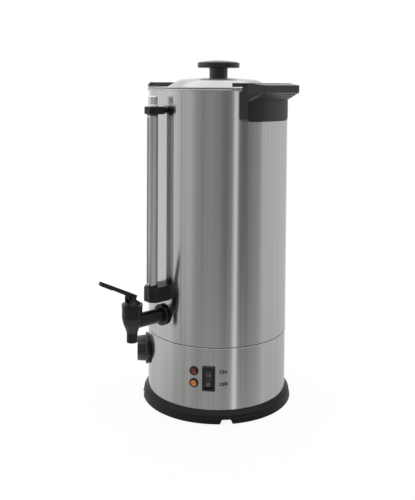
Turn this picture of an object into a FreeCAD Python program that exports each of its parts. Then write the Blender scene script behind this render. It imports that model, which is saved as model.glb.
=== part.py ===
import FreeCAD, Part
import Sketcher
import math
import os
from types import SimpleNamespace

# Hot water urn, modelled at real size in millimetres.
# Frame: +Z up, origin on the urn's axis at table level, tap towards -Y, handles towards +X and -X.
# Azimuths are in degrees about +Z from -Y, positive towards +X.

DRIVING_SIZES = {
    # steel casing
    "shell_radius": 110, "shell_wall": 1, "seam_drop": 19, "rim_level": 491,
    "skirt_step": 0.5, "skirt_wall": 1, "skirt_bottom": 17.6, "seam_gap": 0.3,
    # inner tank
    "tank_space": 9, "tank_wall": 1, "tank_floor": 130, "floor_rounding": 6,
    "flange_thick": 1.2, "bead_overhang": 2.4, "bead_drop": 3.2, "bead_rounding": 1.6, "sheet_gap": 0.2,
    # joint between shell and skirt
    "joint_wall": 1, "joint_overlap": 10,
    # base
    "base_overhang": 8, "base_width": 20, "base_wall": 3, "base_rim_wall": 4.2, "base_roof": 3,
    "base_top": 18,
    "base_lean": 1.2, "base_groove_level": 8.5, "base_groove_depth": 0.8, "base_edge": 0.8,
    "base_shoulder": 10.2, "shoulder_run": 2.2, "shoulder_height": 3.2, "shoulder_curve": 4,
    "base_haunch": 4.5,
    "notch_azimuth": 55.4, "notch_width": 20.4, "notch_lean": 2.6, "notch_rise": 7, "notch_count": 4,
    "notch_rounding": 2.5, "pad_angle": 14, "pad_gap": 0.2, "pad_proud": 0.6, "plate_thick": 1.2,
    "vent_count": 24, "vent_radius": 3, "vent_circle": 78,
    "base_screw_radius": 1.8, "base_screw_head": 3.3, "base_screw_inset": 6.6, "base_screw_azimuth": 30,
    "base_screw_length": 7,
    # heat shield and heater
    "shield_thick": 0.8, "element_radius": 62, "element_tube": 4, "element_lift": 14,
    "element_gap_angle": 40, "element_tail": 22, "element_nut": 8, "element_nut_thick": 5,
    "element_washer_thick": 1.5,
    "cutout_radius": 14, "cutout_thick": 6, "cutout_reach": 34,
    # lid
    "lid_sheet": 1.2, "lid_gap": 0.4, "lid_inset": 0.8, "lid_plug_gap": 1.6, "lid_plug_depth": 8,
    "dome_inset": 17.9, "dome_lean": 19.5, "dome_rise": 11.5, "dome_crown": 3.4,
    "shoulder_rounding": 30, "foot_rounding": 4,
    "grip_radius": 33.5, "grip_thick": 12, "grip_crown": 3.5, "stalk_radius": 14.5, "stalk_length": 15.5,
    "stalk_rounding": 2.5, "lid_screw_radius": 3, "lid_screw_depth": 12, "lid_washer_radius": 9,
    "lid_washer_thick": 1.5, "lid_screw_head": 5.5, "lid_screw_head_thick": 3.5,
    # handles
    "handle_thick": 8.5, "shelf_drop": 18, "plate_height": 29.8, "flare_height": 13, "lip_overhang": 29.5,
    "lip_thick": 10.8, "deck_rise": 8, "collar_rise": 8.6, "collar_wall": 4, "rim_clearance": 0.8,
    "collar_foot": 3,
    "handle_foot_angle": 26, "handle_face_angle": 21, "collar_angle": 32, "lip_half": 36,
    "handle_gap": 0.1, "plate_rounding": 6, "lip_rounding": 1.2,
    "rib_depth": 1.1, "rib_height": 1.2,
    "handle_screw_radius": 2.5, "handle_screw_head": 4.5, "handle_screw_head_thick": 3,
    "handle_screw_depth": 8, "handle_screw_drop": 13, "handle_screw_spread": 24.4,
    # tap
    "tap_lift": 19, "tap_clearance": 10.5, "tap_radius": 15, "tap_rise": 24, "tap_drop": 29,
    "spout_radius": 8, "spout_bore": 5.5, "spout_length": 14, "shank_radius": 10.5,
    "thread_radius": 9, "shank_bore": 4.8,
    "chamber_radius": 10, "chamber_depth": 5, "shell_hole_gap": 0.3,
    "tap_collar_radius": 16, "tap_collar_thick": 3.5, "collar_rounding": 1, "gasket_thick": 2,
    "gasket_radius": 13.5,
    "tap_nut_radius": 15, "tap_nut_thick": 7,
    "bonnet_radius": 15.5, "bonnet_lip": 3, "bonnet_cone": 12.2, "post_radius": 7.2, "post_rise": 33.5,
    "plug_depth": 6, "plug_gap": 0.15, "ear_gap": 0.3, "ear_reach": 7.5, "ear_front": 7.8, "ear_back": 2.3,
    "ear_foot": 28, "ear_rise": 36.3, "bridge_floor": 30.5,
    "pivot_rise": 37, "pivot_offset": 5.2, "hub_radius": 4.4, "hub_width": 10.4, "heel_reach": 8.4,
    "heel_drop": 6, "heel_chamfer": 2, "press_angle": 25, "valve_travel": 3,
    "lever_angle": 27, "blade_offset": 4.4, "blade_length": 57.5, "blade_back": 8.5, "blade_width": 13,
    "blade_thick": 6.2, "blade_tip_thick": 5, "blade_start": 8, "blade_rounding": 4,
    "grip_rib_pitch": 3.6, "grip_rib_length": 1.4, "grip_rib_height": 0.9,
    "lever_pin_radius": 1.5, "running_fit": 0.05, "lever_slot": 5.8, "slot_roof": 0.8,
    "cross_drop": 3.6, "cross_radius": 1, "cross_gap": 0.3, "cross_inset": 0.4,
    "stem_radius": 2.5, "stem_top": 1.8, "stem_hole_gap": 0.4, "stem_collar": 7, "stem_seat": 2.6,
    "stem_collar_thick": 1.6,
    "cup_radius": 8.2, "cup_thick": 5, "seat_gap": 0.1, "spring_radius": 6.2, "spring_wire": 1.2,
    # sight gauge
    "block_rise": 12, "block_drop": 10.5, "bracket_drop": 27, "bracket_thick": 11,
    "guard_depth": 28, "guard_half": 11.2, "guard_flat": 4.5, "guard_chamfer": 6.7, "guard_sheet": 1,
    "guard_slot": 6, "guard_slot_inset": 5, "rail_half": 6, "rail_depth": 9, "tube_depth": 20,
    "tube_radius": 4.5, "tube_bore": 3.2, "tube_rise": 10, "tube_drop": 6,
    "holder_depth": 30.5, "holder_half": 13.6, "holder_flat": 6.5, "holder_chamfer": 7,
    "holder_rounding": 1.2, "cap_radius": 7.1, "cap_height": 16, "cap_collar": 2.5, "cap_flange": 1,
    "seal_height": 2.5, "seal_wall": 0.6, "gauge_lift": 35, "gauge_pipe_radius": 4.5, "gauge_pipe_bore": 3,
    "pipe_in_block": 12, "gauge_nut_radius": 9, "gauge_nut_thick": 5,
    "gauge_washer_thick": 1.5, "gauge_washer_radius": 8,
    # temperature control
    "control_level": 75, "control_azimuth": -35, "dial_radius": 24.5, "dial_thick": 4,
    "dial_grip_radius": 20, "dial_depth": 17, "dial_gap": 1, "flute_count": 18, "flute_radius": 2.2,
    "flute_offset": 1, "dial_hollow": 12, "dial_hollow_depth": 6, "shaft_radius": 3, "shaft_in_dial": 8,
    "shaft_in_box": 8, "bush_radius": 5, "bush_length": 5, "control_nut_radius": 8, "control_nut_thick": 2.5,
    "control_box": 34, "control_box_depth": 22, "control_box_inset": 8,
    # rocker switch
    "switch_level": 65, "switch_azimuth": 42.1, "bezel_width": 19.6, "bezel_height": 37, "bezel_thick": 2.6,
    "bezel_rounding": 1.5, "switch_body_width": 15, "switch_body_height": 31, "switch_body_depth": 20,
    "rocker_width": 11.6, "rocker_height": 27.4, "rocker_gap": 0.4, "rocker_angle": 11, "rocker_proud": 0.6,
    "rocker_lean": 1.6, "rocker_pivot_depth": 4, "rocker_well": 5, "rocker_heel": 1.8,
    "rocker_pin_radius": 1.2, "rocker_pin_reach": 7.1, "spade_width": 6.3, "spade_thick": 0.8,
    "spade_length": 9, "spade_pitch": 9,
    # indicator lamps
    "lamp_azimuth": 30.4, "lamp_upper": 75, "lamp_lower": 57, "lamp_radius": 6, "lamp_proud": 3,
    "lamp_stem_radius": 4.6, "lamp_depth": 20, "lamp_ring_radius": 7, "lamp_ring_thick": 1.2,
    "lens_stem": 3.4, "lens_depth": 5,
    # mains entry and wiring
    "gland_level": 50, "gland_azimuth": 180, "gland_radius": 9, "gland_proud": 8, "gland_bore": 4,
    "gland_thread": 7, "gland_inside": 12, "gland_nut_radius": 10, "gland_nut_thick": 4,
    "terminal_length": 44, "terminal_width": 20, "terminal_height": 17, "terminal_reach": 55,
    "terminal_screw_radius": 2.2, "terminal_pitch": 13,
}

# Sizes that follow from others, as the formulas of their cells
DERIVED_SIZES = {
    "seam_level": "tank_floor - seam_drop",
    "skirt_radius": "shell_radius - skirt_step",
    "tank_radius": "shell_radius - tank_space",
    "bead_radius": "shell_radius + bead_overhang",
    "base_radius": "shell_radius + base_overhang",
    "base_inner_radius": "base_radius - base_width",
    "base_screw_circle": "base_inner_radius + base_screw_inset",
    "lid_radius": "bead_radius - lid_inset",
    "lid_plug_radius": "tank_radius - lid_plug_gap",
    "dome_radius": "lid_plug_radius - dome_inset",
    "dome_shoulder": "dome_radius - dome_lean",
    "handle_radius": "shell_radius + handle_thick",
    "handle_shelf": "rim_level - shelf_drop",
    "handle_bottom": "handle_shelf - plate_height",
    "handle_screw_level": "handle_shelf - handle_screw_drop",
    "lip_reach": "shell_radius + lip_overhang",
    "lip_bottom": "handle_shelf + flare_height",
    "lip_top": "lip_bottom + lip_thick",
    "deck_back": "rim_level + deck_rise",
    "collar_top": "rim_level + collar_rise",
    "collar_bottom": "rim_level + collar_foot",
    "tap_level": "tank_floor + tap_lift",
    "gauge_pipe_level": "tap_level + gauge_lift",
    "gauge_block_top": "gauge_pipe_level + block_rise",
    "gauge_bottom": "gauge_pipe_level - block_drop",
    "gauge_bracket_top": "rim_level - bracket_drop",
    "gauge_bracket_bottom": "gauge_bracket_top - bracket_thick",
    "tube_top": "gauge_bracket_top + tube_rise",
    "tube_bottom": "gauge_pipe_level - tube_drop",
    "rail_front": "shell_radius + rail_depth",
    "tube_reach": "shell_radius + tube_depth",
    "guard_front": "shell_radius + guard_depth",
    "holder_front": "shell_radius + holder_depth",
    "tap_reach": "holder_front + tap_clearance + bonnet_radius",
}

doc = FreeCAD.newDocument("urn")
sheet = doc.addObject("Spreadsheet::Sheet", "Sizes")
cells = {alias: str(number) for alias, number in DRIVING_SIZES.items()}
cells.update({alias: f"={formula}" for alias, formula in DERIVED_SIZES.items()})
for row, (alias, content) in enumerate(cells.items(), start=1):
    sheet.set(f"A{row}", alias)
    sheet.set(f"B{row}", content)
    sheet.setAlias(f"B{row}", alias)
doc.recompute()

# size.NAME is the cell of that size, as it is written in an expression
size = SimpleNamespace(**{alias: f"Sizes.{alias}" for alias in cells})
parts = []


def value(expression):
    """The number that an expression of the sheet's sizes has now."""
    return float(sheet.evalExpression(str(expression)))


def new_body(node, placement=None):
    """An empty body for the piece of that name, placed by an expression."""
    body = doc.addObject("PartDesign::Body", node)
    body.Label = node
    if placement:
        body.setExpression("Placement", placement)
    parts.append(body)
    return body


def about_axis(azimuth):
    """Placement that turns a piece drawn towards -Y about the urn's axis."""
    return f"placement(vector(0; 0; 0); rotation(vector(0; 0; 1); {azimuth}))"


def facing_out(azimuth, reach, level, across="0", tilt="0"):
    """Placement whose own Z points out of the casing and whose own Y points up, tilted about its own X."""
    sine = f"sin(({azimuth}) * 1deg)"
    cosine = f"cos(({azimuth}) * 1deg)"
    spot = (f"vector(({reach}) * {sine} + ({across}) * {cosine}; "
            f"({across}) * {sine} - ({reach}) * {cosine}; {level})")
    bearing = f"rotation(vector(0; 0; 1); {azimuth}) * rotation(vector(1; 0; 0); 90 + {tilt})"
    return f"placement({spot}; {bearing})"


def sketch_on(body, role, level=None):
    """A sketch on one of the body's own origin planes, moved along its normal by level."""
    plane = next(item for item in body.Origin.OriginFeatures if item.Role == role)
    sketch = body.newObject("Sketcher::SketchObject", f"{body.Name}_sketch")
    sketch.AttachmentSupport = (plane, [""])
    sketch.MapMode = "FlatFace"
    if level is not None:
        sketch.setExpression("AttachmentOffset.Base.z", str(level))
    return sketch


def fix_point(sketch, geometry, end, x, y):
    """Hold a point at the expressions x and y of the sketch."""
    for kind, axis, expression in (("DistanceX", -2, x), ("DistanceY", -1, y)):
        if str(expression) == "0":
            sketch.addConstraint(Sketcher.Constraint("PointOnObject", geometry, end, axis))
            continue
        number = value(expression)
        index = sketch.addConstraint(Sketcher.Constraint(kind, -1, 1, geometry, end, number))
        sketch.setExpression(f"Constraints[{index}]", str(expression))


def draw_outline(sketch, corners):
    """A closed outline. A corner is (x, y), or (x, y, radius) where an arc runs on to the next corner,
    with its centre on the left of the way for a radius above zero and on the right below zero."""
    spots = [FreeCAD.Vector(value(corner[0]), value(corner[1]), 0) for corner in corners]
    first = sketch.GeometryCount
    ends = []
    for index, corner in enumerate(corners):
        start = spots[index]
        stop = spots[(index + 1) % len(corners)]
        if len(corner) == 2:
            sketch.addGeometry(Part.LineSegment(start, stop), False)
            ends.append((1, 2))
            continue
        radius = value(corner[2])
        chord = stop - start
        left = FreeCAD.Vector(-chord.y, chord.x, 0).normalize()
        height = math.sqrt(radius ** 2 - (chord.Length / 2) ** 2)
        centre = (start + stop) * 0.5 + left * math.copysign(height, radius)
        circle = Part.Circle(centre, FreeCAD.Vector(0, 0, 1), abs(radius))
        angles = [math.atan2(spot.y - centre.y, spot.x - centre.x) for spot in (start, stop)]
        if radius < 0:
            angles.reverse()
        if angles[1] < angles[0]:
            angles[1] += 2 * math.pi
        sketch.addGeometry(Part.ArcOfCircle(circle, *angles), False)
        ends.append((1, 2) if radius > 0 else (2, 1))
    for index, corner in enumerate(corners):
        following = (index + 1) % len(corners)
        sketch.addConstraint(Sketcher.Constraint("Coincident", first + index, ends[index][1],
                                                 first + following, ends[following][0]))
        fix_point(sketch, first + index, ends[index][0], corner[0], corner[1])
        if len(corner) == 3:
            number = abs(value(corner[2]))
            mark = sketch.addConstraint(Sketcher.Constraint("Radius", first + index, number))
            sketch.setExpression(f"Constraints[{mark}]", f"abs({corner[2]})")
    return sketch


def draw_circle(sketch, x, y, radius):
    """A circle whose centre and radius are expressions."""
    centre = FreeCAD.Vector(value(x), value(y), 0)
    index = sketch.addGeometry(Part.Circle(centre, FreeCAD.Vector(0, 0, 1), value(radius)), False)
    fix_point(sketch, index, 3, x, y)
    mark = sketch.addConstraint(Sketcher.Constraint("Radius", index, value(radius)))
    sketch.setExpression(f"Constraints[{mark}]", str(radius))
    return sketch


def draw_hexagon(sketch, radius):
    """A hexagon about the sketch's origin, with its corners at the radius."""
    corners = []
    for step in range(6):
        turn = math.radians(60 * step)
        corners.append((f"({radius}) * {math.cos(turn):.9f}", f"({radius}) * {math.sin(turn):.9f}"))
    return draw_outline(sketch, corners)


def draw_box(sketch, low_x, low_y, high_x, high_y):
    """A rectangle between two corners."""
    return draw_outline(sketch, [(low_x, low_y), (high_x, low_y), (high_x, high_y), (low_x, high_y)])


def finish_feature(body, feature):
    """Compute the feature as the body's tip."""
    body.Tip = feature
    doc.recompute()
    if feature.Shape.isNull():
        raise ValueError(f"{body.Label}: {feature.Name} made nothing")
    return feature


def pad(body, sketch, length, middle=False, back=False):
    """Pad a sketch by an expression, both ways when middle is set."""
    feature = body.newObject("PartDesign::Pad", f"{body.Name}_pad")
    feature.Profile = sketch
    feature.Midplane = middle
    feature.Reversed = back
    feature.setExpression("Length", str(length))
    return finish_feature(body, feature)


def pocket(body, sketch, length=None, middle=False, back=False):
    """Cut a sketch away by an expression, or through everything without one. It has to cut something."""
    before = body.Shape.Volume
    feature = body.newObject("PartDesign::Pocket", f"{body.Name}_pocket")
    feature.Profile = sketch
    feature.Midplane = middle
    feature.Reversed = back
    if length is None:
        feature.Type = 1
    else:
        feature.setExpression("Length", str(length))
    finish_feature(body, feature)
    if body.Shape.Volume > before - 1e-6:
        raise ValueError(f"{body.Label}: {feature.Name} cut nothing")
    return feature


def turn(body, sketch, angle=360, cut=False, middle=False, axis="V_Axis"):
    """Revolve a sketch about its own upright axis, or cut it away."""
    before = body.Shape.Volume if cut else 0
    kind = "PartDesign::Groove" if cut else "PartDesign::Revolution"
    feature = body.newObject(kind, f"{body.Name}_turn")
    feature.Profile = sketch
    feature.ReferenceAxis = (sketch, [axis])
    feature.Midplane = middle
    feature.setExpression("Angle", str(angle))
    finish_feature(body, feature)
    if cut and body.Shape.Volume > before - 1e-6:
        raise ValueError(f"{body.Label}: {feature.Name} cut nothing")
    return feature


def pattern(body, features, count, angle=360):
    """Repeat features about the body's own Z axis."""
    axis = next(item for item in body.Origin.OriginFeatures if item.Role == "Z_Axis")
    feature = body.newObject("PartDesign::PolarPattern", f"{body.Name}_pattern")
    feature.Originals = features
    feature.Axis = (axis, [""])
    feature.setExpression("Angle", str(angle))
    feature.setExpression("Occurrences", str(count))
    body.Tip = feature
    doc.recompute()
    return feature


def round_edges(body, radius, chosen):
    """Fillet the edges of the tip that the test picks."""
    base = body.Tip
    names = [f"Edge{number}" for number, edge in enumerate(base.Shape.Edges, start=1) if chosen(edge)]
    if not names:
        raise ValueError(f"{body.Label}: no edge to round")
    feature = body.newObject("PartDesign::Fillet", f"{body.Name}_fillet")
    feature.Base = (base, names)
    feature.setExpression("Radius", str(radius))
    body.Tip = feature
    doc.recompute()
    return feature


def is_near(number, expression, slack=0.01):
    """Whether a number is what the expression gives."""
    return abs(number - value(expression)) < slack


def edge_radius(edge):
    """The radius of a round edge, or None."""
    if edge.Degenerated:
        return None
    return edge.Curve.Radius if hasattr(edge.Curve, "Radius") else None


def washer(node, placement, low, high, outer, inner):
    """A flat ring about its own Z axis."""
    body = new_body(node, placement)
    sketch = sketch_on(body, "XY_Plane", low)
    draw_circle(sketch, "0", "0", outer)
    draw_circle(sketch, "0", "0", inner)
    pad(body, sketch, f"({high}) - ({low})")
    return body


def hex_nut(node, placement, low, high, outer, inner):
    """A six-sided nut about its own Z axis."""
    body = new_body(node, placement)
    sketch = sketch_on(body, "XY_Plane", low)
    draw_hexagon(sketch, outer)
    draw_circle(sketch, "0", "0", inner)
    pad(body, sketch, f"({high}) - ({low})")
    return body


def radial_sketch(body, azimuth):
    """A sketch on the upright plane through the axis whose normal points out at the azimuth."""
    sketch = sketch_on(body, "XZ_Plane")
    sketch.AttachmentOffset = FreeCAD.Placement(
        FreeCAD.Vector(0, 0, 0), FreeCAD.Rotation(FreeCAD.Vector(0, 1, 0), value(azimuth))
    )
    if azimuth != "0":
        sketch.setExpression("AttachmentOffset.Rotation.Angle", str(azimuth))
    return sketch


def group(node, members):
    """One piece that is a group of separate solids, such as four screws."""
    compound = doc.addObject("Part::Compound", node)
    compound.Label = node
    compound.Links = members
    for member in members:
        if member in parts:
            parts.remove(member)
    parts.append(compound)
    return compound


# Places that several pieces share
shell_inner = f"({size.shell_radius} - {size.shell_wall})"
skirt_inner = f"({size.skirt_radius} - {size.skirt_wall})"
tank_outer = f"({size.tank_radius} + {size.tank_wall})"
flange_under = f"({size.rim_level} - {size.flange_thick})"
plate_top = f"({size.skirt_bottom} + {size.plate_thick})"
lid_under = f"({size.rim_level} + {size.lid_gap})"
lid_flat = f"({lid_under} + {size.lid_sheet})"
lid_crown = f"({lid_flat} + {size.dome_rise} + {size.dome_crown})"
tap_seat = f"sqrt({size.tank_radius}^2 - {size.tap_nut_radius}^2)"
gauge_seat = f"sqrt({size.tank_radius}^2 - {size.gauge_nut_radius}^2)"
tap_frame = f"placement(vector(0; -{size.tap_reach}; {size.tap_level}); rotation(vector(0; 0; 1); 0))"
bridge_half = f"({size.hub_width} / 2 + {size.ear_gap})"
lever_frame = (f"placement(vector(0; -{size.tap_reach} - {size.pivot_offset}; "
               f"{size.tap_level} + {size.pivot_rise}); rotation(vector(0; 0; 1); 0))")
handle_azimuths = {"left": -90, "right": 90}


def make_outer_shell():
    """Brushed steel tube round the tank, with the holes of the tap, the gauge and the handles."""
    body = new_body("outer_shell")
    sketch = sketch_on(body, "XZ_Plane")
    top = f"{flange_under} - {size.sheet_gap}"
    draw_box(sketch, shell_inner, f"{size.seam_level} + {size.seam_gap}", size.shell_radius, top)
    turn(body, sketch)
    front = radial_sketch(body, "0")
    draw_circle(front, "0", size.tap_level, f"{size.thread_radius} + {size.shell_hole_gap}")
    draw_circle(front, "0", size.gauge_pipe_level, f"{size.gauge_pipe_radius} + {size.shell_hole_gap}")
    pocket(body, front, f"{size.shell_radius} + 1", back=True)
    sides = sketch_on(body, "YZ_Plane")
    for side in ("-", ""):
        draw_circle(sides, f"{side}{size.handle_screw_spread}", size.handle_screw_level,
                    f"{size.handle_screw_radius} + {size.shell_hole_gap}")
    pocket(body, sides, f"2 * {size.shell_radius} + 2", middle=True)


def make_inner_tank():
    """Drawn steel tank whose rolled rim hangs on the shell's top edge."""
    body = new_body("inner_tank")
    sketch = sketch_on(body, "XZ_Plane")
    lip_inner = f"{size.shell_radius} + {size.sheet_gap}"
    floor_top = f"{size.tank_floor} + {size.tank_wall}"
    inner_rounding = f"({size.floor_rounding} - {size.tank_wall})"
    draw_outline(sketch, [
        ("0", size.tank_floor),
        (f"{tank_outer} - {size.floor_rounding}", size.tank_floor, size.floor_rounding),
        (tank_outer, f"{size.tank_floor} + {size.floor_rounding}"),
        (tank_outer, flange_under),
        (lip_inner, flange_under),
        (lip_inner, f"{size.rim_level} - {size.bead_drop}"),
        (size.bead_radius, f"{size.rim_level} - {size.bead_drop}"),
        (size.bead_radius, f"{size.rim_level} - {size.bead_rounding}", size.bead_rounding),
        (f"{size.bead_radius} - {size.bead_rounding}", size.rim_level),
        (f"{size.tank_radius} + {size.bead_rounding}", size.rim_level, size.bead_rounding),
        (size.tank_radius, f"{size.rim_level} - {size.bead_rounding}"),
        (size.tank_radius, f"{size.tank_floor} + {size.floor_rounding}", f"-{inner_rounding}"),
        (f"{size.tank_radius} - {inner_rounding}", floor_top),
        ("0", floor_top),
    ])
    turn(body, sketch)
    front = radial_sketch(body, "0")
    draw_circle(front, "0", size.tap_level, f"{size.thread_radius} + {size.shell_hole_gap}")
    draw_circle(front, "0", size.gauge_pipe_level, f"{size.gauge_pipe_radius} + {size.shell_hole_gap}")
    pocket(body, front, f"{size.shell_radius} + 1", back=True)
    floor = sketch_on(body, "XY_Plane", f"{size.tank_floor} - 1")
    for side in ("-", ""):
        draw_circle(floor, f"{side}{element_end_x}", element_end_y,
                    f"{size.element_tube} + {size.shell_hole_gap}")
    pocket(body, floor, f"{size.tank_wall} + 2", back=True)


element_end_x = f"({size.element_radius} * sin({size.element_gap_angle} * 0.5deg))"
element_end_y = f"({size.element_radius} * cos({size.element_gap_angle} * 0.5deg))"


def make_joint_ring():
    """Steel ring inside the seam, on whose ledge the shell stands above the skirt."""
    body = new_body("joint_ring")
    sketch = sketch_on(body, "XZ_Plane")
    outer = f"({skirt_inner} - {size.sheet_gap})"
    inner = f"({outer} - {size.joint_wall})"
    draw_outline(sketch, [
        (inner, f"{size.seam_level} - {size.joint_overlap}"),
        (outer, f"{size.seam_level} - {size.joint_overlap}"),
        (outer, f"{size.seam_level} - {size.seam_gap}"),
        (f"{size.skirt_radius} - {size.sheet_gap}", f"{size.seam_level} - {size.seam_gap}"),
        (f"{size.skirt_radius} - {size.sheet_gap}", f"{size.seam_level} + {size.seam_gap}"),
        (outer, f"{size.seam_level} + {size.seam_gap}"),
        (outer, f"{size.seam_level} + {size.joint_overlap}"),
        (inner, f"{size.seam_level} + {size.joint_overlap}"),
    ])
    turn(body, sketch)


def make_skirt():
    """Lower steel casing with the openings of the controls, the lamps and the mains entry."""
    body = new_body("base_skirt")
    sketch = sketch_on(body, "XZ_Plane")
    draw_box(sketch, skirt_inner, size.skirt_bottom, size.skirt_radius, f"{size.seam_level} - {size.seam_gap}")
    turn(body, sketch)
    gap = size.shell_hole_gap
    round_holes = (
        (size.control_azimuth, size.control_level, size.bush_radius),
        (size.lamp_azimuth, size.lamp_upper, size.lamp_stem_radius),
        (size.lamp_azimuth, size.lamp_lower, size.lamp_stem_radius),
        (size.gland_azimuth, size.gland_level, size.gland_thread),
    )
    for azimuth, level, radius in round_holes:
        hole = radial_sketch(body, azimuth)
        draw_circle(hole, "0", level, f"{radius} + {gap}")
        pocket(body, hole, f"{size.skirt_radius} + 1", back=True)
    window = radial_sketch(body, size.switch_azimuth)
    half_x = f"({size.switch_body_width} / 2 + {gap})"
    half_y = f"({size.switch_body_height} / 2 + {gap})"
    draw_box(window, f"-{half_x}", f"{size.switch_level} - {half_y}", half_x, f"{size.switch_level} + {half_y}")
    pocket(body, window, f"{size.skirt_radius} + 1", back=True)


def make_base_ring():
    """Black moulded ring in two tiers, a channel underneath and four arched notches in its foot."""
    body = new_body("base_ring", about_axis(size.notch_azimuth))
    sketch = sketch_on(body, "XZ_Plane")
    rim = size.base_radius
    tier = f"({rim} - {size.base_lean})"
    foot = size.pad_proud
    soft = size.base_edge
    ceiling = f"({size.skirt_bottom} - {size.base_roof})"
    kerb = f"({size.skirt_radius} + {size.shell_hole_gap})"
    draw_outline(sketch, [
        (size.base_inner_radius, foot),
        (f"{size.base_inner_radius} + {size.base_wall}", foot),
        (f"{size.base_inner_radius} + {size.base_wall}", ceiling),
        (f"{rim} - {size.base_rim_wall} - {size.base_haunch}", ceiling),
        (f"{rim} - {size.base_rim_wall}", f"{ceiling} - {size.base_haunch}"),
        (f"{rim} - {size.base_rim_wall}", foot),
        (f"{rim} - {soft}", foot, soft),
        (rim, f"{foot} + {soft}"),
        (tier, f"{size.base_groove_level} - {size.base_groove_depth}"),
        (f"{tier} - {size.base_groove_depth}", size.base_groove_level),
        (f"{tier} - {size.base_groove_depth} / 2", f"{size.base_groove_level} + {size.base_groove_depth}"),
        (f"{tier} - {size.base_groove_depth} / 2", size.base_shoulder, size.shoulder_curve),
        (f"{tier} - {size.shoulder_run}", f"{size.base_shoulder} + {size.shoulder_height}"),
        (f"{kerb} + {soft}", size.base_top),
        (kerb, size.base_top),
        (kerb, size.skirt_bottom),
        (size.base_inner_radius, size.skirt_bottom),
    ])
    turn(body, sketch)
    channel = f"({size.base_inner_radius} + {size.base_wall} + 1)"
    notch = sketch_on(body, "XZ_Plane", channel)
    half_low = f"({size.notch_width} / 2)"
    half_high = f"({half_low} - {size.notch_lean})"
    draw_outline(notch, [
        (f"-{half_low}", f"{foot} - 1"),
        (half_low, f"{foot} - 1"),
        (half_high, f"{size.notch_rise} - {size.notch_rounding}", size.notch_rounding),
        (f"{half_high} - {size.notch_rounding}", size.notch_rise),
        (f"-{half_high} + {size.notch_rounding}", size.notch_rise, size.notch_rounding),
        (f"-{half_high}", f"{size.notch_rise} - {size.notch_rounding}"),
    ])
    cut = pocket(body, notch, f"{rim} - {channel} + 1", back=True)
    pattern(body, [cut], size.notch_count)
    screws = sketch_on(body, "XY_Plane", ceiling)
    ring_holes(screws, size.base_screw_circle, f"{size.base_screw_azimuth} - {size.notch_azimuth}",
               f"{size.base_screw_radius} + 0.1")
    pocket(body, screws, f"{size.base_roof} + 1", back=True)


def ring_holes(sketch, circle, azimuth, radius, count=4):
    """Holes evenly round a circle in a level sketch."""
    for step in range(count):
        bearing = f"({azimuth} + {360 / count:g} * {step}) * 1deg"
        draw_circle(sketch, f"{circle} * sin({bearing})", f"-{circle} * cos({bearing})", radius)


def make_foot_pads():
    """Four rubber pads pressed into the base ring's channel, half-way between its notches."""
    body = new_body("foot_pads")
    body.AllowCompound = True
    sketch = sketch_on(body, "YZ_Plane")
    inner = f"({size.base_inner_radius} + {size.base_wall} + {size.pad_gap})"
    outer = f"({size.base_radius} - {size.base_rim_wall} - {size.pad_gap})"
    top = f"({size.skirt_bottom} - {size.base_roof})"
    draw_outline(sketch, [
        (f"-{outer}", "0"),
        (f"-{inner}", "0"),
        (f"-{inner}", top),
        (f"{size.base_haunch} - {outer}", top),
        (f"-{outer}", f"{top} - {size.base_haunch}"),
    ])
    pad_feature = turn(body, sketch, angle=size.pad_angle, middle=True)
    pattern(body, [pad_feature], size.notch_count)
    body.setExpression("Placement", about_axis(f"{size.notch_azimuth} + 180 / {size.notch_count}"))
    doc.recompute()


def make_bottom_plate():
    """Steel plate that closes the base, with a ring of air holes."""
    body = new_body("bottom_plate")
    sketch = sketch_on(body, "XY_Plane", size.skirt_bottom)
    draw_circle(sketch, "0", "0", f"{skirt_inner} - {size.shell_hole_gap}")
    ring_holes(sketch, size.base_screw_circle, size.base_screw_azimuth, f"{size.base_screw_radius} + 0.1")
    pad(body, sketch, size.plate_thick)
    vent = sketch_on(body, "XY_Plane", plate_top)
    draw_circle(vent, "0", size.vent_circle, size.vent_radius)
    cut = pocket(body, vent, f"{size.plate_thick} + 1")
    pattern(body, [cut], size.vent_count)


def make_base_screws():
    """Four screws that hold the bottom plate to the base ring."""
    members = []
    for step in range(4):
        bearing = f"{size.base_screw_azimuth} + 90 * {step}"
        spot = (f"vector({size.base_screw_circle} * sin(({bearing}) * 1deg); "
                f"-{size.base_screw_circle} * cos(({bearing}) * 1deg); {plate_top})")
        body = new_body(f"base_screw_{step + 1}", f"placement({spot}; rotation(vector(0; 0; 1); 0))")
        sketch = sketch_on(body, "XZ_Plane")
        head = size.base_screw_head
        draw_outline(sketch, [
            ("0", f"-{size.base_screw_length}"),
            (size.base_screw_radius, f"-{size.base_screw_length}"),
            (size.base_screw_radius, "0"),
            (head, "0"),
            (head, f"{head} * 0.3"),
            (f"{head} * 0.6", f"{head} * 0.6"),
            ("0", f"{head} * 0.6"),
        ])
        turn(body, sketch)
        members.append(body)
    group("base_screws", members)


def make_heat_shield():
    """Thin steel shield on the joint ring, between the tank floor and the wiring."""
    body = new_body("heat_shield")
    sketch = sketch_on(body, "XY_Plane", f"{size.seam_level} + {size.joint_overlap}")
    draw_circle(sketch, "0", "0", f"{shell_inner} - {size.shell_hole_gap}")
    for side in ("-", ""):
        draw_circle(sketch, f"{side}{element_end_x}", element_end_y, f"{size.element_tube} * 2")
    pad(body, sketch, size.shield_thick)


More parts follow.
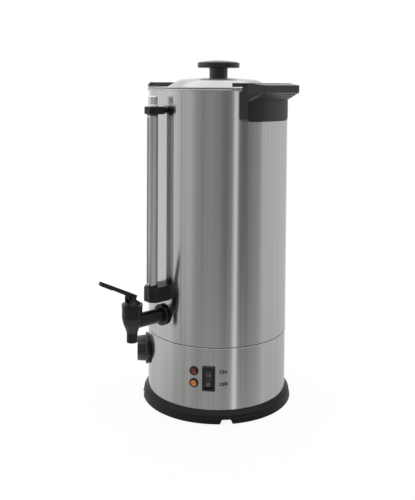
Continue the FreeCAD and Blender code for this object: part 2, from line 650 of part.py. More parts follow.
def make_heating_element():
    """Sheathed ring heater above the tank floor, with its two cold tails through the floor."""
    level = f"({size.tank_floor} + {size.element_lift})"
    ring = doc.addObject("Part::Torus", "element_ring")
    ring.setExpression("Radius1", size.element_radius)
    ring.setExpression("Radius2", size.element_tube)
    ring.setExpression("Angle3", f"360 - {size.element_gap_angle}")
    ring.setExpression("Placement", f"placement(vector(0; 0; {level}); "
                                    f"rotation(vector(0; 0; 1); 90 + {size.element_gap_angle} / 2))")
    pieces = [ring]
    for side, name in (("-", "left"), ("", "right")):
        drop = f"({size.element_lift} + {size.element_tail})"
        tail = doc.addObject("Part::Cylinder", f"element_tail_{name}")
        tail.setExpression("Radius", size.element_tube)
        tail.setExpression("Height", drop)
        tail.setExpression("Placement", f"placement(vector({side}{element_end_x}; {element_end_y}; "
                                        f"{level} - {drop}); rotation(vector(0; 0; 1); 0))")
        elbow = doc.addObject("Part::Sphere", f"element_elbow_{name}")
        elbow.setExpression("Radius", size.element_tube)
        elbow.setExpression("Placement", f"placement(vector({side}{element_end_x}; {element_end_y}; {level}); "
                                         f"rotation(vector(0; 0; 1); 0))")
        pieces += [tail, elbow]
    heater = doc.addObject("Part::MultiFuse", "heating_element")
    heater.Label = "heating_element"
    heater.Shapes = pieces
    heater.Refine = True
    parts.append(heater)
    doc.recompute()
    nuts = []
    seals = []
    for side, name in (("-", "left"), ("", "right")):
        spot = f"placement(vector({side}{element_end_x}; {element_end_y}; 0); rotation(vector(0; 0; 1); 0))"
        bore = f"{size.element_tube} + {size.running_fit}"
        nuts.append(hex_nut(f"element_nut_{name}", spot, f"{size.tank_floor} - {size.element_nut_thick}",
                            size.tank_floor, size.element_nut, bore))
        floor_top = f"({size.tank_floor} + {size.tank_wall})"
        seals.append(washer(f"element_seal_{name}", spot, floor_top,
                            f"{floor_top} + {size.element_washer_thick}", size.element_nut, bore))
    group("element_nuts", nuts)
    group("element_seals", seals)


def make_boil_dry_cutout():
    """Thermal cut-out under the tank floor with its reset button and two flat terminals."""
    body = new_body("boil_dry_cutout", f"placement(vector(0; -{size.cutout_reach}; {size.tank_floor}); "
                                       "rotation(vector(0; 0; 1); 0))")
    disc = sketch_on(body, "XY_Plane", f"-{size.cutout_thick}")
    draw_circle(disc, "0", "0", size.cutout_radius)
    pad(body, disc, size.cutout_thick)
    button = sketch_on(body, "XY_Plane", f"-{size.cutout_thick}")
    draw_circle(button, "0", "0", f"{size.cutout_radius} / 4")
    pad(body, button, f"{size.cutout_radius} / 10", back=True)
    ears = sketch_on(body, "XY_Plane", f"-{size.cutout_thick} / 2")
    for side in ("-", ""):
        near = f"{side}{size.cutout_radius} * 0.9"
        far = f"{side}({size.cutout_radius} + {size.spade_length})"
        low, high = (far, near) if side else (near, far)
        draw_box(ears, low, f"-{size.spade_width} / 2", high, f"{size.spade_width} / 2")
    pad(body, ears, size.spade_thick)


def make_lid():
    """Pressed steel lid: flat rim, raised flat-topped dome and a ring that fits inside the tank's mouth."""
    body = new_body("lid")
    sketch = sketch_on(body, "XZ_Plane")
    sheet_thick = size.lid_sheet
    crown_radius = f"(({size.dome_shoulder}^2 + {size.dome_crown}^2) / (2 * {size.dome_crown}))"
    shoulder_level = f"({lid_flat} + {size.dome_rise})"
    draw_outline(sketch, [
        ("0", f"{lid_crown} - {sheet_thick}", f"-{crown_radius}"),
        (size.dome_shoulder, f"{shoulder_level} - {sheet_thick}"),
        (f"{size.dome_radius} - {sheet_thick}", lid_under),
        (f"{size.lid_plug_radius} - {sheet_thick}", lid_under),
        (f"{size.lid_plug_radius} - {sheet_thick}", f"{lid_under} - {size.lid_plug_depth}"),
        (size.lid_plug_radius, f"{lid_under} - {size.lid_plug_depth}"),
        (size.lid_plug_radius, lid_under),
        (size.lid_radius, lid_under),
        (size.lid_radius, lid_flat),
        (size.dome_radius, lid_flat),
        (f"{size.dome_shoulder} + {sheet_thick} / 2", shoulder_level, crown_radius),
        ("0", lid_crown),
    ])
    turn(body, sketch)
    hole = sketch_on(body, "XY_Plane", f"{lid_crown} + 1")
    draw_circle(hole, "0", "0", f"{size.lid_screw_radius} + {size.shell_hole_gap}")
    pocket(body, hole, f"{sheet_thick} + 2")
    shoulder = f"{size.dome_shoulder} + {sheet_thick} / 2"
    round_edges(body, size.shoulder_rounding,
                lambda edge: edge_radius(edge) and is_near(edge_radius(edge), shoulder, 0.05)
                and is_near(edge.BoundBox.ZMax, shoulder_level, 0.05))
    round_edges(body, f"{size.shoulder_rounding} - {sheet_thick}",
                lambda edge: edge_radius(edge) and is_near(edge_radius(edge), size.dome_shoulder, 0.05)
                and is_near(edge.BoundBox.ZMax, f"{shoulder_level} - {sheet_thick}", 0.05))
    round_edges(body, size.foot_rounding,
                lambda edge: edge_radius(edge) and is_near(edge_radius(edge), size.dome_radius, 0.05)
                and is_near(edge.BoundBox.ZMax, lid_flat, 0.05))


def make_lid_knob():
    """Black mushroom knob on a short stalk, held from inside by a screw."""
    body = new_body("lid_knob", f"placement(vector(0; 0; {lid_crown}); rotation(vector(0; 0; 1); 0))")
    sketch = sketch_on(body, "XZ_Plane")
    edge_top = f"({size.stalk_length} + {size.grip_thick} - {size.grip_crown})"
    crown_radius = f"(({size.grip_radius}^2 + {size.grip_crown}^2) / (2 * {size.grip_crown}))"
    draw_outline(sketch, [
        ("0", "0"),
        (size.stalk_radius, "0"),
        (size.stalk_radius, size.stalk_length),
        (size.grip_radius, size.stalk_length),
        (size.grip_radius, edge_top, crown_radius),
        ("0", f"{size.stalk_length} + {size.grip_thick}"),
    ])
    turn(body, sketch)
    hole = sketch_on(body, "XY_Plane")
    draw_circle(hole, "0", "0", f"{size.lid_screw_radius} + {size.running_fit}")
    pocket(body, hole, f"{size.lid_screw_depth} + 1", back=True)
    round_edges(body, size.stalk_rounding,
                lambda edge: edge_radius(edge) and (
                    (is_near(edge_radius(edge), size.grip_radius)
                     and is_near(edge.BoundBox.ZMax, size.stalk_length))
                    or (is_near(edge_radius(edge), size.grip_radius)
                        and is_near(edge.BoundBox.ZMax, edge_top))
                    or (is_near(edge_radius(edge), size.stalk_radius)
                        and is_near(edge.BoundBox.ZMax, size.stalk_length))))


def make_lid_fastening():
    """Washer and screw under the lid that hold the knob."""
    washer_top = f"({lid_crown} - {size.lid_sheet} - {size.sheet_gap})"
    washer("lid_washer", None, f"{washer_top} - {size.lid_washer_thick}", washer_top, size.lid_washer_radius,
           f"{size.lid_screw_radius} + {size.running_fit}")
    body = new_body("lid_screw", f"placement(vector(0; 0; {washer_top} - {size.lid_washer_thick}); "
                                 "rotation(vector(0; 0; 1); 0))")
    sketch = sketch_on(body, "XZ_Plane")
    head = size.lid_screw_head
    top = (f"({size.lid_washer_thick} + {size.sheet_gap} + {size.lid_sheet} + {size.lid_screw_depth})")
    draw_outline(sketch, [
        ("0", f"-{size.lid_screw_head_thick}"),
        (f"{head} * 0.6", f"-{size.lid_screw_head_thick}"),
        (head, f"-{size.lid_screw_head_thick} * 0.4"),
        (head, "0"),
        (size.lid_screw_radius, "0"),
        (size.lid_screw_radius, top),
        ("0", top),
    ])
    turn(body, sketch)


def make_handle(side, azimuth):
    """Moulded side handle: plate on the shell, flared ribbed underside, straight lip and collar wall."""
    body = new_body(f"handle_{side}", about_axis(azimuth))
    back = f"({size.shell_radius} + {size.handle_gap})"
    face = size.handle_radius
    foot_x, foot_y = on_circle(back, size.handle_foot_angle)
    edge_x, edge_y = on_circle(face, size.handle_face_angle)
    plate = sketch_on(body, "XY_Plane", size.handle_bottom)
    draw_outline(plate, [
        (f"-{foot_x}", foot_y),
        (f"-{edge_x}", edge_y, face),
        (edge_x, edge_y),
        (foot_x, foot_y, f"-{back}"),
    ])
    pad(body, plate, f"{size.handle_shelf} - {size.handle_bottom}")
    round_edges(body, size.plate_rounding,
                lambda edge: edge_radius(edge) is None
                and is_near(edge.BoundBox.ZMax, size.handle_bottom))
    shelf = sketch_on(body, "XY_Plane", size.handle_shelf)
    front_y = f"-sqrt({face}^2 - {size.lip_half}^2)"
    draw_outline(shelf, [
        (f"-{foot_x}", foot_y),
        (f"-{edge_x}", edge_y, face),
        (f"-{size.lip_half}", front_y, face),
        (size.lip_half, front_y, face),
        (edge_x, edge_y),
        (foot_x, foot_y, f"-{back}"),
    ])
    lip_corners = [
        (f"-{foot_x}", foot_y),
        (f"-{edge_x}", edge_y),
        (f"-{size.lip_half}", f"-{size.lip_reach}"),
        (size.lip_half, f"-{size.lip_reach}"),
        (edge_x, edge_y),
        (foot_x, foot_y, f"-{back}"),
    ]
    lip = draw_outline(sketch_on(body, "XY_Plane", size.lip_bottom), lip_corners)
    flare = body.newObject("PartDesign::AdditiveLoft", f"{body.Name}_flare")
    flare.Profile = shelf
    flare.Sections = [lip]
    flare.Ruled = True
    finish_feature(body, flare)
    block = draw_outline(sketch_on(body, "XY_Plane", size.lip_bottom), lip_corners)
    pad(body, block, f"{size.deck_back} - {size.lip_bottom}")
    deck = sketch_on(body, "YZ_Plane")
    collar_outer = f"({size.bead_radius} + {size.rim_clearance} + {size.collar_wall})"
    draw_outline(deck, [
        (f"-{size.lip_reach} - 1", size.lip_top),
        (f"-{size.lip_reach}", size.lip_top),
        (f"-{collar_outer}", size.deck_back),
        (f"-{collar_outer}", f"{size.deck_back} + 1"),
        (f"-{size.lip_reach} - 1", f"{size.deck_back} + 1"),
    ])
    pocket(body, deck, f"4 * {size.lip_half}", middle=True)
    for step in range(1, 4):
        cut_rib_groove(body, f"({step} / 4)")
    collar = sketch_on(body, "XY_Plane", size.collar_bottom)
    outer_x, outer_y = on_circle(collar_outer, size.collar_angle)
    collar_inner = f"({size.bead_radius} + {size.rim_clearance})"
    inner_x, inner_y = on_circle(collar_inner, size.collar_angle)
    draw_outline(collar, [
        (f"-{inner_x}", inner_y),
        (f"-{outer_x}", outer_y, collar_outer),
        (outer_x, outer_y),
        (inner_x, inner_y, f"-{collar_inner}"),
    ])
    pad(body, collar, f"{size.collar_top} - {size.collar_bottom}")
    rim = sketch_on(body, "YZ_Plane")
    draw_box(rim, f"{size.shell_radius} * 0.8", f"{size.rim_level} - {size.bead_drop} - {size.rim_clearance}",
             collar_inner, f"{size.collar_top} + 1")
    turn(body, rim, cut=True)
    round_edges(body, size.lip_rounding,
                lambda edge: is_near(edge.BoundBox.YMin, f"-{size.lip_reach}")
                and is_near(edge.BoundBox.YMax, f"-{size.lip_reach}"))
    holes = sketch_on(body, "XZ_Plane", f"{size.shell_radius} * 0.8")
    for sign in ("-", ""):
        draw_circle(holes, f"{sign}{size.handle_screw_spread}", size.handle_screw_level,
                    f"{size.handle_screw_radius} + {size.running_fit}")
    pocket(body, holes, f"{screw_front} + {size.handle_screw_depth} - {size.shell_radius} * 0.8", back=True)


def cut_rib_groove(body, share):
    """One groove along the flared underside, at a share of the way from the shelf up to the lip."""
    face = size.handle_radius
    level = f"({size.handle_shelf} + {size.flare_height} * {share} - {size.rib_height} / 2)"
    front = (f"(sqrt({face}^2 - {size.lip_half}^2) * (1 - {share}) + {size.lip_reach} * {share}"
             f" - {size.rib_depth})")
    sag = f"(({face} - sqrt({face}^2 - {size.lip_half}^2)) * (1 - {share}))"
    bow = f"(({size.lip_half}^2 + {sag}^2) / (2 * {sag}))"
    sketch = sketch_on(body, "XY_Plane", level)
    beside = f"({size.lip_half} + {size.rib_height} * 4)"
    beyond = f"({size.lip_reach} + {size.rib_height} * 4)"
    draw_outline(sketch, [
        (f"-{beside}", f"-{front}"),
        (f"-{size.lip_half}", f"-{front}", bow),
        (size.lip_half, f"-{front}"),
        (beside, f"-{front}"),
        (beside, f"-{beyond}"),
        (f"-{beside}", f"-{beyond}"),
    ])
    pocket(body, sketch, size.rib_height, back=True)


def on_circle(radius, angle):
    """Across and along positions of the point of a circle at an angle from -Y."""
    return f"({radius} * sin({angle} * 1deg))", f"(-{radius} * cos({angle} * 1deg))"


# How far from the axis the heads of the handle screws begin, so that they lie flat inside the shell
screw_front = (f"sqrt({shell_inner}^2 - ({size.handle_screw_spread} + {size.handle_screw_head})^2)")


def make_handle_screws():
    """Two screws for each handle, put in from inside the shell."""
    members = []
    for side, azimuth in handle_azimuths.items():
        for sign in ("-", ""):
            name = f"handle_screw_{side}_{'low' if sign else 'high'}"
            spot = facing_out(azimuth, screw_front, size.handle_screw_level,
                              f"{sign}{size.handle_screw_spread}")
            body = new_body(name, spot)
            sketch = sketch_on(body, "XZ_Plane")
            head = size.handle_screw_head
            draw_outline(sketch, [
                ("0", f"-{size.handle_screw_head_thick}"),
                (f"{head} * 0.7", f"-{size.handle_screw_head_thick}"),
                (head, f"-{size.handle_screw_head_thick} * 0.4"),
                (head, "0"),
                (size.handle_screw_radius, "0"),
                (size.handle_screw_radius, f"{size.handle_screw_depth} - {size.running_fit}"),
                ("0", f"{size.handle_screw_depth} - {size.running_fit}"),
            ])
            turn(body, sketch)
            members.append(body)
    group("handle_screws", members)


def make_tap_body():
    """Turned tap body with its chamber, spout and long threaded shank through both walls."""
    body = new_body("tap_body", tap_frame)
    sketch = sketch_on(body, "XZ_Plane")
    draw_outline(sketch, [
        ("0", f"-{size.tap_drop}"),
        (size.spout_radius, f"-{size.tap_drop}"),
        (size.spout_radius, f"{size.spout_length} - {size.tap_drop}"),
        (f"{size.spout_radius} + 2", f"{size.spout_length} + 6 - {size.tap_drop}"),
        (f"{size.tap_radius} - 2", f"-{size.chamber_depth} * 0.3"),
        (size.tap_radius, f"{size.chamber_depth} * 1.4"),
        (size.tap_radius, size.tap_rise),
        ("0", size.tap_rise),
    ])
    turn(body, sketch)
    shank = sketch_on(body, "YZ_Plane")
    shoulder = f"({size.tap_reach} - {size.shell_radius} - {size.gasket_thick} - {size.tap_collar_thick})"
    end = f"({size.tap_reach} - {tap_seat} + {size.gasket_thick} + {size.tap_nut_thick} + 2)"
    draw_outline(shank, [
        ("0", "0"),
        (end, "0"),
        (end, f"{size.thread_radius} - 1"),
        (f"{end} - 1", size.thread_radius),
        (shoulder, size.thread_radius),
        (shoulder, size.shank_radius),
        ("0", size.shank_radius),
    ])
    turn(body, shank, axis="H_Axis")
    chamber = sketch_on(body, "XY_Plane", size.tap_rise)
    draw_circle(chamber, "0", "0", size.chamber_radius)
    pocket(body, chamber, f"{size.tap_rise} + {size.chamber_depth}")
    outlet = sketch_on(body, "XY_Plane")
    draw_circle(outlet, "0", "0", size.spout_bore)
    pocket(body, outlet, f"{size.tap_drop} + 1")
    inlet = sketch_on(body, "XZ_Plane")
    draw_circle(inlet, "0", "0", size.shank_bore)
    pocket(body, inlet, f"{end} + 1")


def make_tap_mounting():
    """Collar and gaskets that the tap is clamped with, and its nut inside the tank."""
    outside = facing_out("0", size.shell_radius, size.tap_level)
    bore = f"({size.thread_radius} + {size.running_fit})"
    washer("tap_outer_gasket", outside, "0", size.gasket_thick, size.gasket_radius, bore)
    body = washer("tap_collar", outside, size.gasket_thick, f"{size.gasket_thick} + {size.tap_collar_thick}",
                  size.tap_collar_radius, bore)
    round_edges(body, size.collar_rounding,
                lambda edge: is_near(edge_radius(edge) or 0, size.tap_collar_radius)
                and is_near(edge.BoundBox.ZMax, f"{size.gasket_thick} + {size.tap_collar_thick}"))
    inside = facing_out("0", tap_seat, size.tap_level)
    washer("tap_inner_gasket", inside, f"-{size.gasket_thick}", "0", size.gasket_radius, bore)
    hex_nut("tap_nut", inside, f"-{size.gasket_thick} - {size.tap_nut_thick}", f"-{size.gasket_thick}",
            size.tap_nut_radius, bore)


def make_tap_bonnet():
    """Bonnet that closes the chamber, with the stem's bore and two ears for the lever."""
    body = new_body("tap_bonnet", tap_frame)
    bore = f"{size.stem_radius} + {size.stem_hole_gap}"
    plug = f"{size.chamber_radius} - {size.plug_gap}"
    sketch = sketch_on(body, "XZ_Plane")
    draw_outline(sketch, [
        (bore, f"{size.tap_rise} - {size.plug_depth}"),
        (plug, f"{size.tap_rise} - {size.plug_depth}"),
        (plug, size.tap_rise),
        (size.bonnet_radius, size.tap_rise),
        (size.bonnet_radius, f"{size.tap_rise} + {size.bonnet_lip}"),
        (size.bonnet_cone, f"{size.tap_rise} + {size.bonnet_lip}"),
        (size.post_radius, size.post_rise),
        (bore, size.post_rise),
    ])
    turn(body, sketch)
    ears = sketch_on(body, "YZ_Plane")
    half = f"(({size.ear_front} + {size.ear_back}) / 2)"
    middle = f"({size.ear_back} - {half})"
    draw_outline(ears, [
        (f"-{size.ear_front}", size.ear_foot),
        (size.ear_back, size.ear_foot),
        (size.ear_back, size.ear_rise, half),
        (middle, f"{size.ear_rise} + {half}", half),
        (f"-{size.ear_front}", size.ear_rise),
    ])
    pad(body, ears, f"2 * {size.ear_reach}", middle=True)
    gap = sketch_on(body, "XZ_Plane")
    draw_box(gap, f"-{bridge_half}", size.bridge_floor, bridge_half, f"{size.ear_rise} + {half} + 1")
    pocket(body, gap, f"2 * {size.bonnet_cone} + 2", middle=True)
    centre = sketch_on(body, "XY_Plane", f"{size.bridge_floor} + 1")
    draw_circle(centre, "0", "0", bore)
    pocket(body, centre, f"{size.plug_depth} + {size.bridge_floor}")
    pin = sketch_on(body, "YZ_Plane")
    draw_circle(pin, f"-{size.pivot_offset}", size.pivot_rise, f"{size.lever_pin_radius} + {size.running_fit}")
    pocket(body, pin, f"2 * {size.ear_reach} + 2", middle=True)


def along_lever(distance, offset):
    """Point of the lever's middle plane at a distance along its slope and an offset square to it."""
    cosine = f"cos({size.lever_angle} * 1deg)"
    sine = f"sin({size.lever_angle} * 1deg)"
    return (f"({offset}) * {sine} - ({distance}) * {cosine}", f"({distance}) * {sine} + ({offset}) * {cosine}")


def make_tap_lever():
    """Lever with a forked hub on its pin, a sloping blade and grip ribs under the blade's end."""
    body = new_body("tap_lever", lever_frame)
    hub = sketch_on(body, "YZ_Plane")
    draw_circle(hub, "0", "0", size.hub_radius)
    pad(body, hub, size.hub_width, middle=True)
    heel = sketch_on(body, "YZ_Plane")
    draw_outline(heel, [
        ("0", f"-{size.heel_drop}"),
        (f"{size.heel_reach} - {size.heel_chamfer}", f"-{size.heel_drop}"),
        (size.heel_reach, f"{size.heel_chamfer} - {size.heel_drop}"),
        (size.heel_reach, "0"),
        ("0", "0"),
    ])
    pad(body, heel, size.hub_width, middle=True)
    top = f"{size.blade_offset} + {size.blade_thick} / 2"
    under = f"{size.blade_offset} - {size.blade_thick} / 2"
    neck = sketch_on(body, "YZ_Plane")
    draw_outline(neck, [
        along_lever(f"-{size.blade_back}", top),
        along_lever(size.blade_start, top),
        along_lever(size.blade_start, under),
        along_lever(f"-{size.blade_back}", under),
    ])
    pad(body, neck, size.hub_width, middle=True)
    tip_top = along_lever(size.blade_length, f"{size.blade_offset} + {size.blade_tip_thick} / 2")
    tip_under = along_lever(size.blade_length, f"{size.blade_offset} - {size.blade_tip_thick} / 2")
    blade = sketch_on(body, "YZ_Plane")
    draw_outline(blade, [
        along_lever(size.blade_start, top),
        tip_top,
        tip_under,
        along_lever(size.blade_start, under),
    ])
    pad(body, blade, size.blade_width, middle=True)
    round_edges(body, size.blade_rounding,
                lambda edge: is_near(edge.BoundBox.XLength, "0")
                and is_near(edge.BoundBox.YMin, tip_under[0]) and is_near(edge.BoundBox.YMax, tip_top[0]))
    ribs = sketch_on(body, "YZ_Plane")
    root = f"{size.blade_offset} - {size.blade_tip_thick} / 2 + {size.grip_rib_height} / 2"
    edge = f"{size.blade_offset} - {size.blade_tip_thick} / 2 - {size.grip_rib_height}"
    for step in range(5):
        near = f"{size.blade_length} - {size.blade_rounding} - {size.grip_rib_pitch} * {step}"
        far = f"{near} - {size.grip_rib_length}"
        draw_outline(ribs, [
            along_lever(near, root),
            along_lever(far, root),
            along_lever(far, edge),
            along_lever(near, edge),
        ])
    pad(body, ribs, f"{size.blade_width} - 2", middle=True)
    fork = sketch_on(body, "XZ_Plane")
    draw_box(fork, f"-{size.lever_slot} / 2", f"-{size.heel_drop} - 1",
             f"{size.lever_slot} / 2", size.slot_roof)
    pocket(body, fork, f"2 * {size.heel_reach} + 6", middle=True)
    pocket(body, draw_cross_slot(sketch_on(body, "YZ_Plane")), f"{size.hub_width} + 2", middle=True)
    pin = sketch_on(body, "YZ_Plane")
    draw_circle(pin, "0", "0", f"{size.lever_pin_radius} + {size.running_fit}")
    pocket(body, pin, f"{size.hub_width} + 4", middle=True)
    pin_body = new_body("lever_pin", lever_frame)
    sketch = sketch_on(pin_body, "YZ_Plane")
    draw_circle(sketch, "0", "0", size.lever_pin_radius)
    pad(pin_body, sketch, f"2 * {size.ear_reach} + 1", middle=True)


def draw_cross_slot(sketch):
    """Outline of the slot in the hub that the stem's cross pin runs in, from its place at rest to its place
    when the lever is pressed."""
    cosine = f"cos({size.press_angle} * 1deg)"
    sine = f"sin({size.press_angle} * 1deg)"
    rise = f"({size.valve_travel} - {size.cross_drop})"
    start = (size.pivot_offset, f"(-{size.cross_drop})")
    stop = (f"({size.pivot_offset} * {cosine} + {rise} * {sine})",
            f"({rise} * {cosine} - {size.pivot_offset} * {sine})")
    run = (f"({stop[0]} - {start[0]})", f"({stop[1]} - {start[1]})")
    half = f"({size.cross_radius} + {size.cross_gap})"
    scale = f"({half} / sqrt({run[0]}^2 + {run[1]}^2))"

    def beside(point, ahead, right):
        """A point moved by the half width, ahead or back along the slot and to its right or left."""
        return (f"{point[0]} + {scale} * ({ahead} * {run[0]} + {right} * {run[1]})",
                f"{point[1]} + {scale} * ({ahead} * {run[1]} - {right} * {run[0]})")

    return draw_outline(sketch, [
        beside(start, 0, 1),
        (*beside(stop, 0, 1), half),
        (*beside(stop, 1, 0), half),
        beside(stop, 0, -1),
        (*beside(start, 0, -1), half),
        (*beside(start, -1, 0), half),
    ])


def make_valve():
    """Stem with its cross pin and spring seat, the seat cup that closes the outlet, and the spring."""
    stem = new_body("valve_stem", tap_frame)
    sketch = sketch_on(stem, "XZ_Plane")
    seat = f"({size.stem_seat} + {size.stem_collar_thick})"
    foot = f"({size.seat_gap} + {size.cup_thick} / 2 - {size.chamber_depth})"
    cross_level = f"({size.pivot_rise} - {size.cross_drop})"
    top = f"({cross_level} + {size.stem_top})"
    draw_outline(sketch, [
        ("0", foot),
        (size.stem_radius, foot),
        (size.stem_radius, size.stem_seat),
        (size.stem_collar, size.stem_seat),
        (size.stem_collar, seat),
        (size.stem_radius, seat),
        (size.stem_radius, top),
        ("0", top),
    ])
    turn(stem, sketch)
    cross = sketch_on(stem, "YZ_Plane")
    draw_circle(cross, "0", cross_level, size.cross_radius)
    pad(stem, cross, f"{size.hub_width} - 2 * {size.cross_inset}", middle=True)
    cup = new_body("seat_cup", tap_frame)
    low = f"({size.seat_gap} - {size.chamber_depth})"
    high = f"({low} + {size.cup_thick})"
    bore = f"({size.stem_radius} + {size.running_fit})"
    profile = sketch_on(cup, "XZ_Plane")
    draw_outline(profile, [
        ("0", low),
        (f"{size.cup_radius} - 1", low),
        (size.cup_radius, f"{low} + 1"),
        (size.cup_radius, high),
        (bore, high),
        (bore, foot),
        ("0", foot),
    ])
    turn(cup, profile)
    washer("tap_spring", tap_frame, seat, f"{size.tap_rise} - {size.plug_depth}", size.spring_radius,
           f"{size.spring_radius} - {size.spring_wire}")


def holder_outline(sketch, back_y, back_bow=None):
    """Cross section of the gauge's bracket, or of its block with a back that is hollow to fit the shell."""
    half = size.holder_half
    shoulder = f"-({size.holder_front} - {size.holder_chamfer})"
    last = (half, back_y, back_bow) if back_bow else (half, back_y)
    return draw_outline(sketch, [
        (f"-{half}", back_y),
        (f"-{half}", shoulder),
        (f"-{size.holder_flat}", f"-{size.holder_front}"),
        (size.holder_flat, f"-{size.holder_front}"),
        (half, shoulder),
        last,
    ])


def make_gauge_holders():
    """Upper bracket and lower block that carry the gauge glass."""
    tube_hole = f"{size.tube_radius} + {size.running_fit}"
    bracket = new_body("gauge_bracket")
    holder = holder_outline(sketch_on(bracket, "XY_Plane", size.gauge_bracket_bottom), f"-{size.rail_front}")
    draw_circle(holder, "0", f"-{size.tube_reach}", tube_hole)
    pad(bracket, holder, f"{size.gauge_bracket_top} - {size.gauge_bracket_bottom}")
    block = new_body("gauge_block")
    back = f"({size.shell_radius} + {size.running_fit})"
    base = holder_outline(sketch_on(block, "XY_Plane", size.gauge_bottom),
                          f"-sqrt({back}^2 - {size.holder_half}^2)", f"-{back}")
    pad(block, base, f"{size.gauge_block_top} - {size.gauge_bottom}")
    socket = sketch_on(block, "XY_Plane", size.gauge_block_top)
    draw_circle(socket, "0", f"-{size.tube_reach}", tube_hole)
    pocket(block, socket, f"{size.gauge_block_top} - {size.tube_bottom}")
    entry = sketch_on(block, "XZ_Plane", f"{size.shell_radius} - 5")
    draw_circle(entry, "0", size.gauge_pipe_level, f"{size.gauge_pipe_radius} + {size.running_fit}")
    pocket(block, entry, f"{size.pipe_in_block} + 5", back=True)
    passage = sketch_on(block, "XZ_Plane", f"{size.shell_radius} - 5")
    draw_circle(passage, "0", size.gauge_pipe_level, size.gauge_pipe_bore)
    pocket(block, passage, f"{size.tube_reach} - {size.shell_radius} + 5", back=True)
    side = value(f"1.2 * {size.holder_chamfer} - {size.holder_front}")
    for body, bottom, top in ((bracket, size.gauge_bracket_bottom, size.gauge_bracket_top),
                              (block, size.gauge_bottom, size.gauge_block_top)):
        round_edges(body, size.holder_rounding,
                    lambda edge: edge_radius(edge) is None and edge.BoundBox.YMax < side
                    and (is_near(edge.BoundBox.ZMin, top) or is_near(edge.BoundBox.ZMax, bottom)))


def make_gauge_guard():
    """Black rail on the shell, up behind the bracket, and the steel guard before the glass, with its slot."""
    rail = new_body("gauge_rail")
    back = f"({size.shell_radius} + {size.running_fit})"
    back_y = f"-sqrt({back}^2 - {size.rail_half}^2)"
    section = sketch_on(rail, "XY_Plane", size.gauge_block_top)
    draw_outline(section, [
        (f"-{size.rail_half}", back_y),
        (f"-{size.rail_half}", f"-{size.rail_front}"),
        (size.rail_half, f"-{size.rail_front}"),
        (size.rail_half, back_y, f"-{back}"),
    ])
    pad(rail, section, f"{size.gauge_bracket_top} - {size.gauge_block_top}")
    guard = new_body("gauge_guard")
    outline = sketch_on(guard, "XY_Plane", size.gauge_block_top)
    half = size.guard_half
    thick = size.guard_sheet
    inner_half = f"({half} - {thick})"
    corner = f"({size.guard_front} - {size.guard_chamfer})"
    inner_corner = f"({corner} - {thick} * 0.4)"
    inner_flat = f"({size.guard_flat} - {thick} * 0.4)"
    draw_outline(outline, [
        (f"-{half}", f"-{size.rail_front}"),
        (f"-{half}", f"-{corner}"),
        (f"-{size.guard_flat}", f"-{size.guard_front}"),
        (size.guard_flat, f"-{size.guard_front}"),
        (half, f"-{corner}"),
        (half, f"-{size.rail_front}"),
        (inner_half, f"-{size.rail_front}"),
        (inner_half, f"-{inner_corner}"),
        (inner_flat, f"-({size.guard_front} - {thick})"),
        (f"-{inner_flat}", f"-({size.guard_front} - {thick})"),
        (f"-{inner_half}", f"-{inner_corner}"),
        (f"-{inner_half}", f"-{size.rail_front}"),
    ])
    pad(guard, outline, f"{size.gauge_bracket_bottom} - {size.gauge_block_top}")
    window = sketch_on(guard, "XZ_Plane", f"{size.guard_front} - 2 * {thick}")
    low = f"({size.gauge_block_top} + {size.guard_slot_inset} + {size.guard_slot} / 2)"
    high = f"({size.gauge_bracket_bottom} - {size.guard_slot_inset} - {size.guard_slot} / 2)"
    slot = f"({size.guard_slot} / 2)"
    draw_outline(window, [
        (f"-{slot}", low, slot),
        ("0", f"{low} - {slot}", slot),
        (slot, low),
        (slot, high, slot),
        ("0", f"{high} + {slot}", slot),
        (f"-{slot}", high),
    ])
    pocket(guard, window, f"3 * {thick}", back=True)


def make_gauge_glass():
    """Glass tube, its two seals and the cap above the bracket."""
    axis = f"placement(vector(0; -{size.tube_reach}; 0); rotation(vector(0; 0; 1); 0))"
    washer("gauge_tube", axis, size.tube_bottom, size.tube_top, size.tube_radius, size.tube_bore)
    bore = f"({size.tube_radius} + {size.running_fit})"
    levels = ((size.gauge_block_top, f"{size.gauge_block_top} + {size.seal_height}"),
              (f"{size.gauge_bracket_bottom} - {size.seal_height}", size.gauge_bracket_bottom))
    members = []
    for name, (low, high) in zip(("low", "high"), levels):
        members.append(washer(f"gauge_seal_{name}", axis, low, high, f"{bore} + {size.seal_wall}", bore))
    group("gauge_seals", members)
    cap = new_body("gauge_cap", f"placement(vector(0; -{size.tube_reach}; {size.gauge_bracket_top}); "
                                "rotation(vector(0; 0; 1); 0))")
    sketch = sketch_on(cap, "XZ_Plane")
    hollow = f"({size.tube_top} - {size.gauge_bracket_top} + {size.shell_hole_gap})"
    draw_outline(sketch, [
        (bore, "0"),
        (f"{size.cap_radius} + {size.cap_flange}", "0"),
        (f"{size.cap_radius} + {size.cap_flange}", size.cap_collar),
        (size.cap_radius, size.cap_collar),
        (size.cap_radius, f"{size.cap_height} - 2"),
        (f"{size.cap_radius} - 2", size.cap_height),
        ("0", size.cap_height),
        ("0", hollow),
        (bore, hollow),
    ])
    turn(cap, sketch)


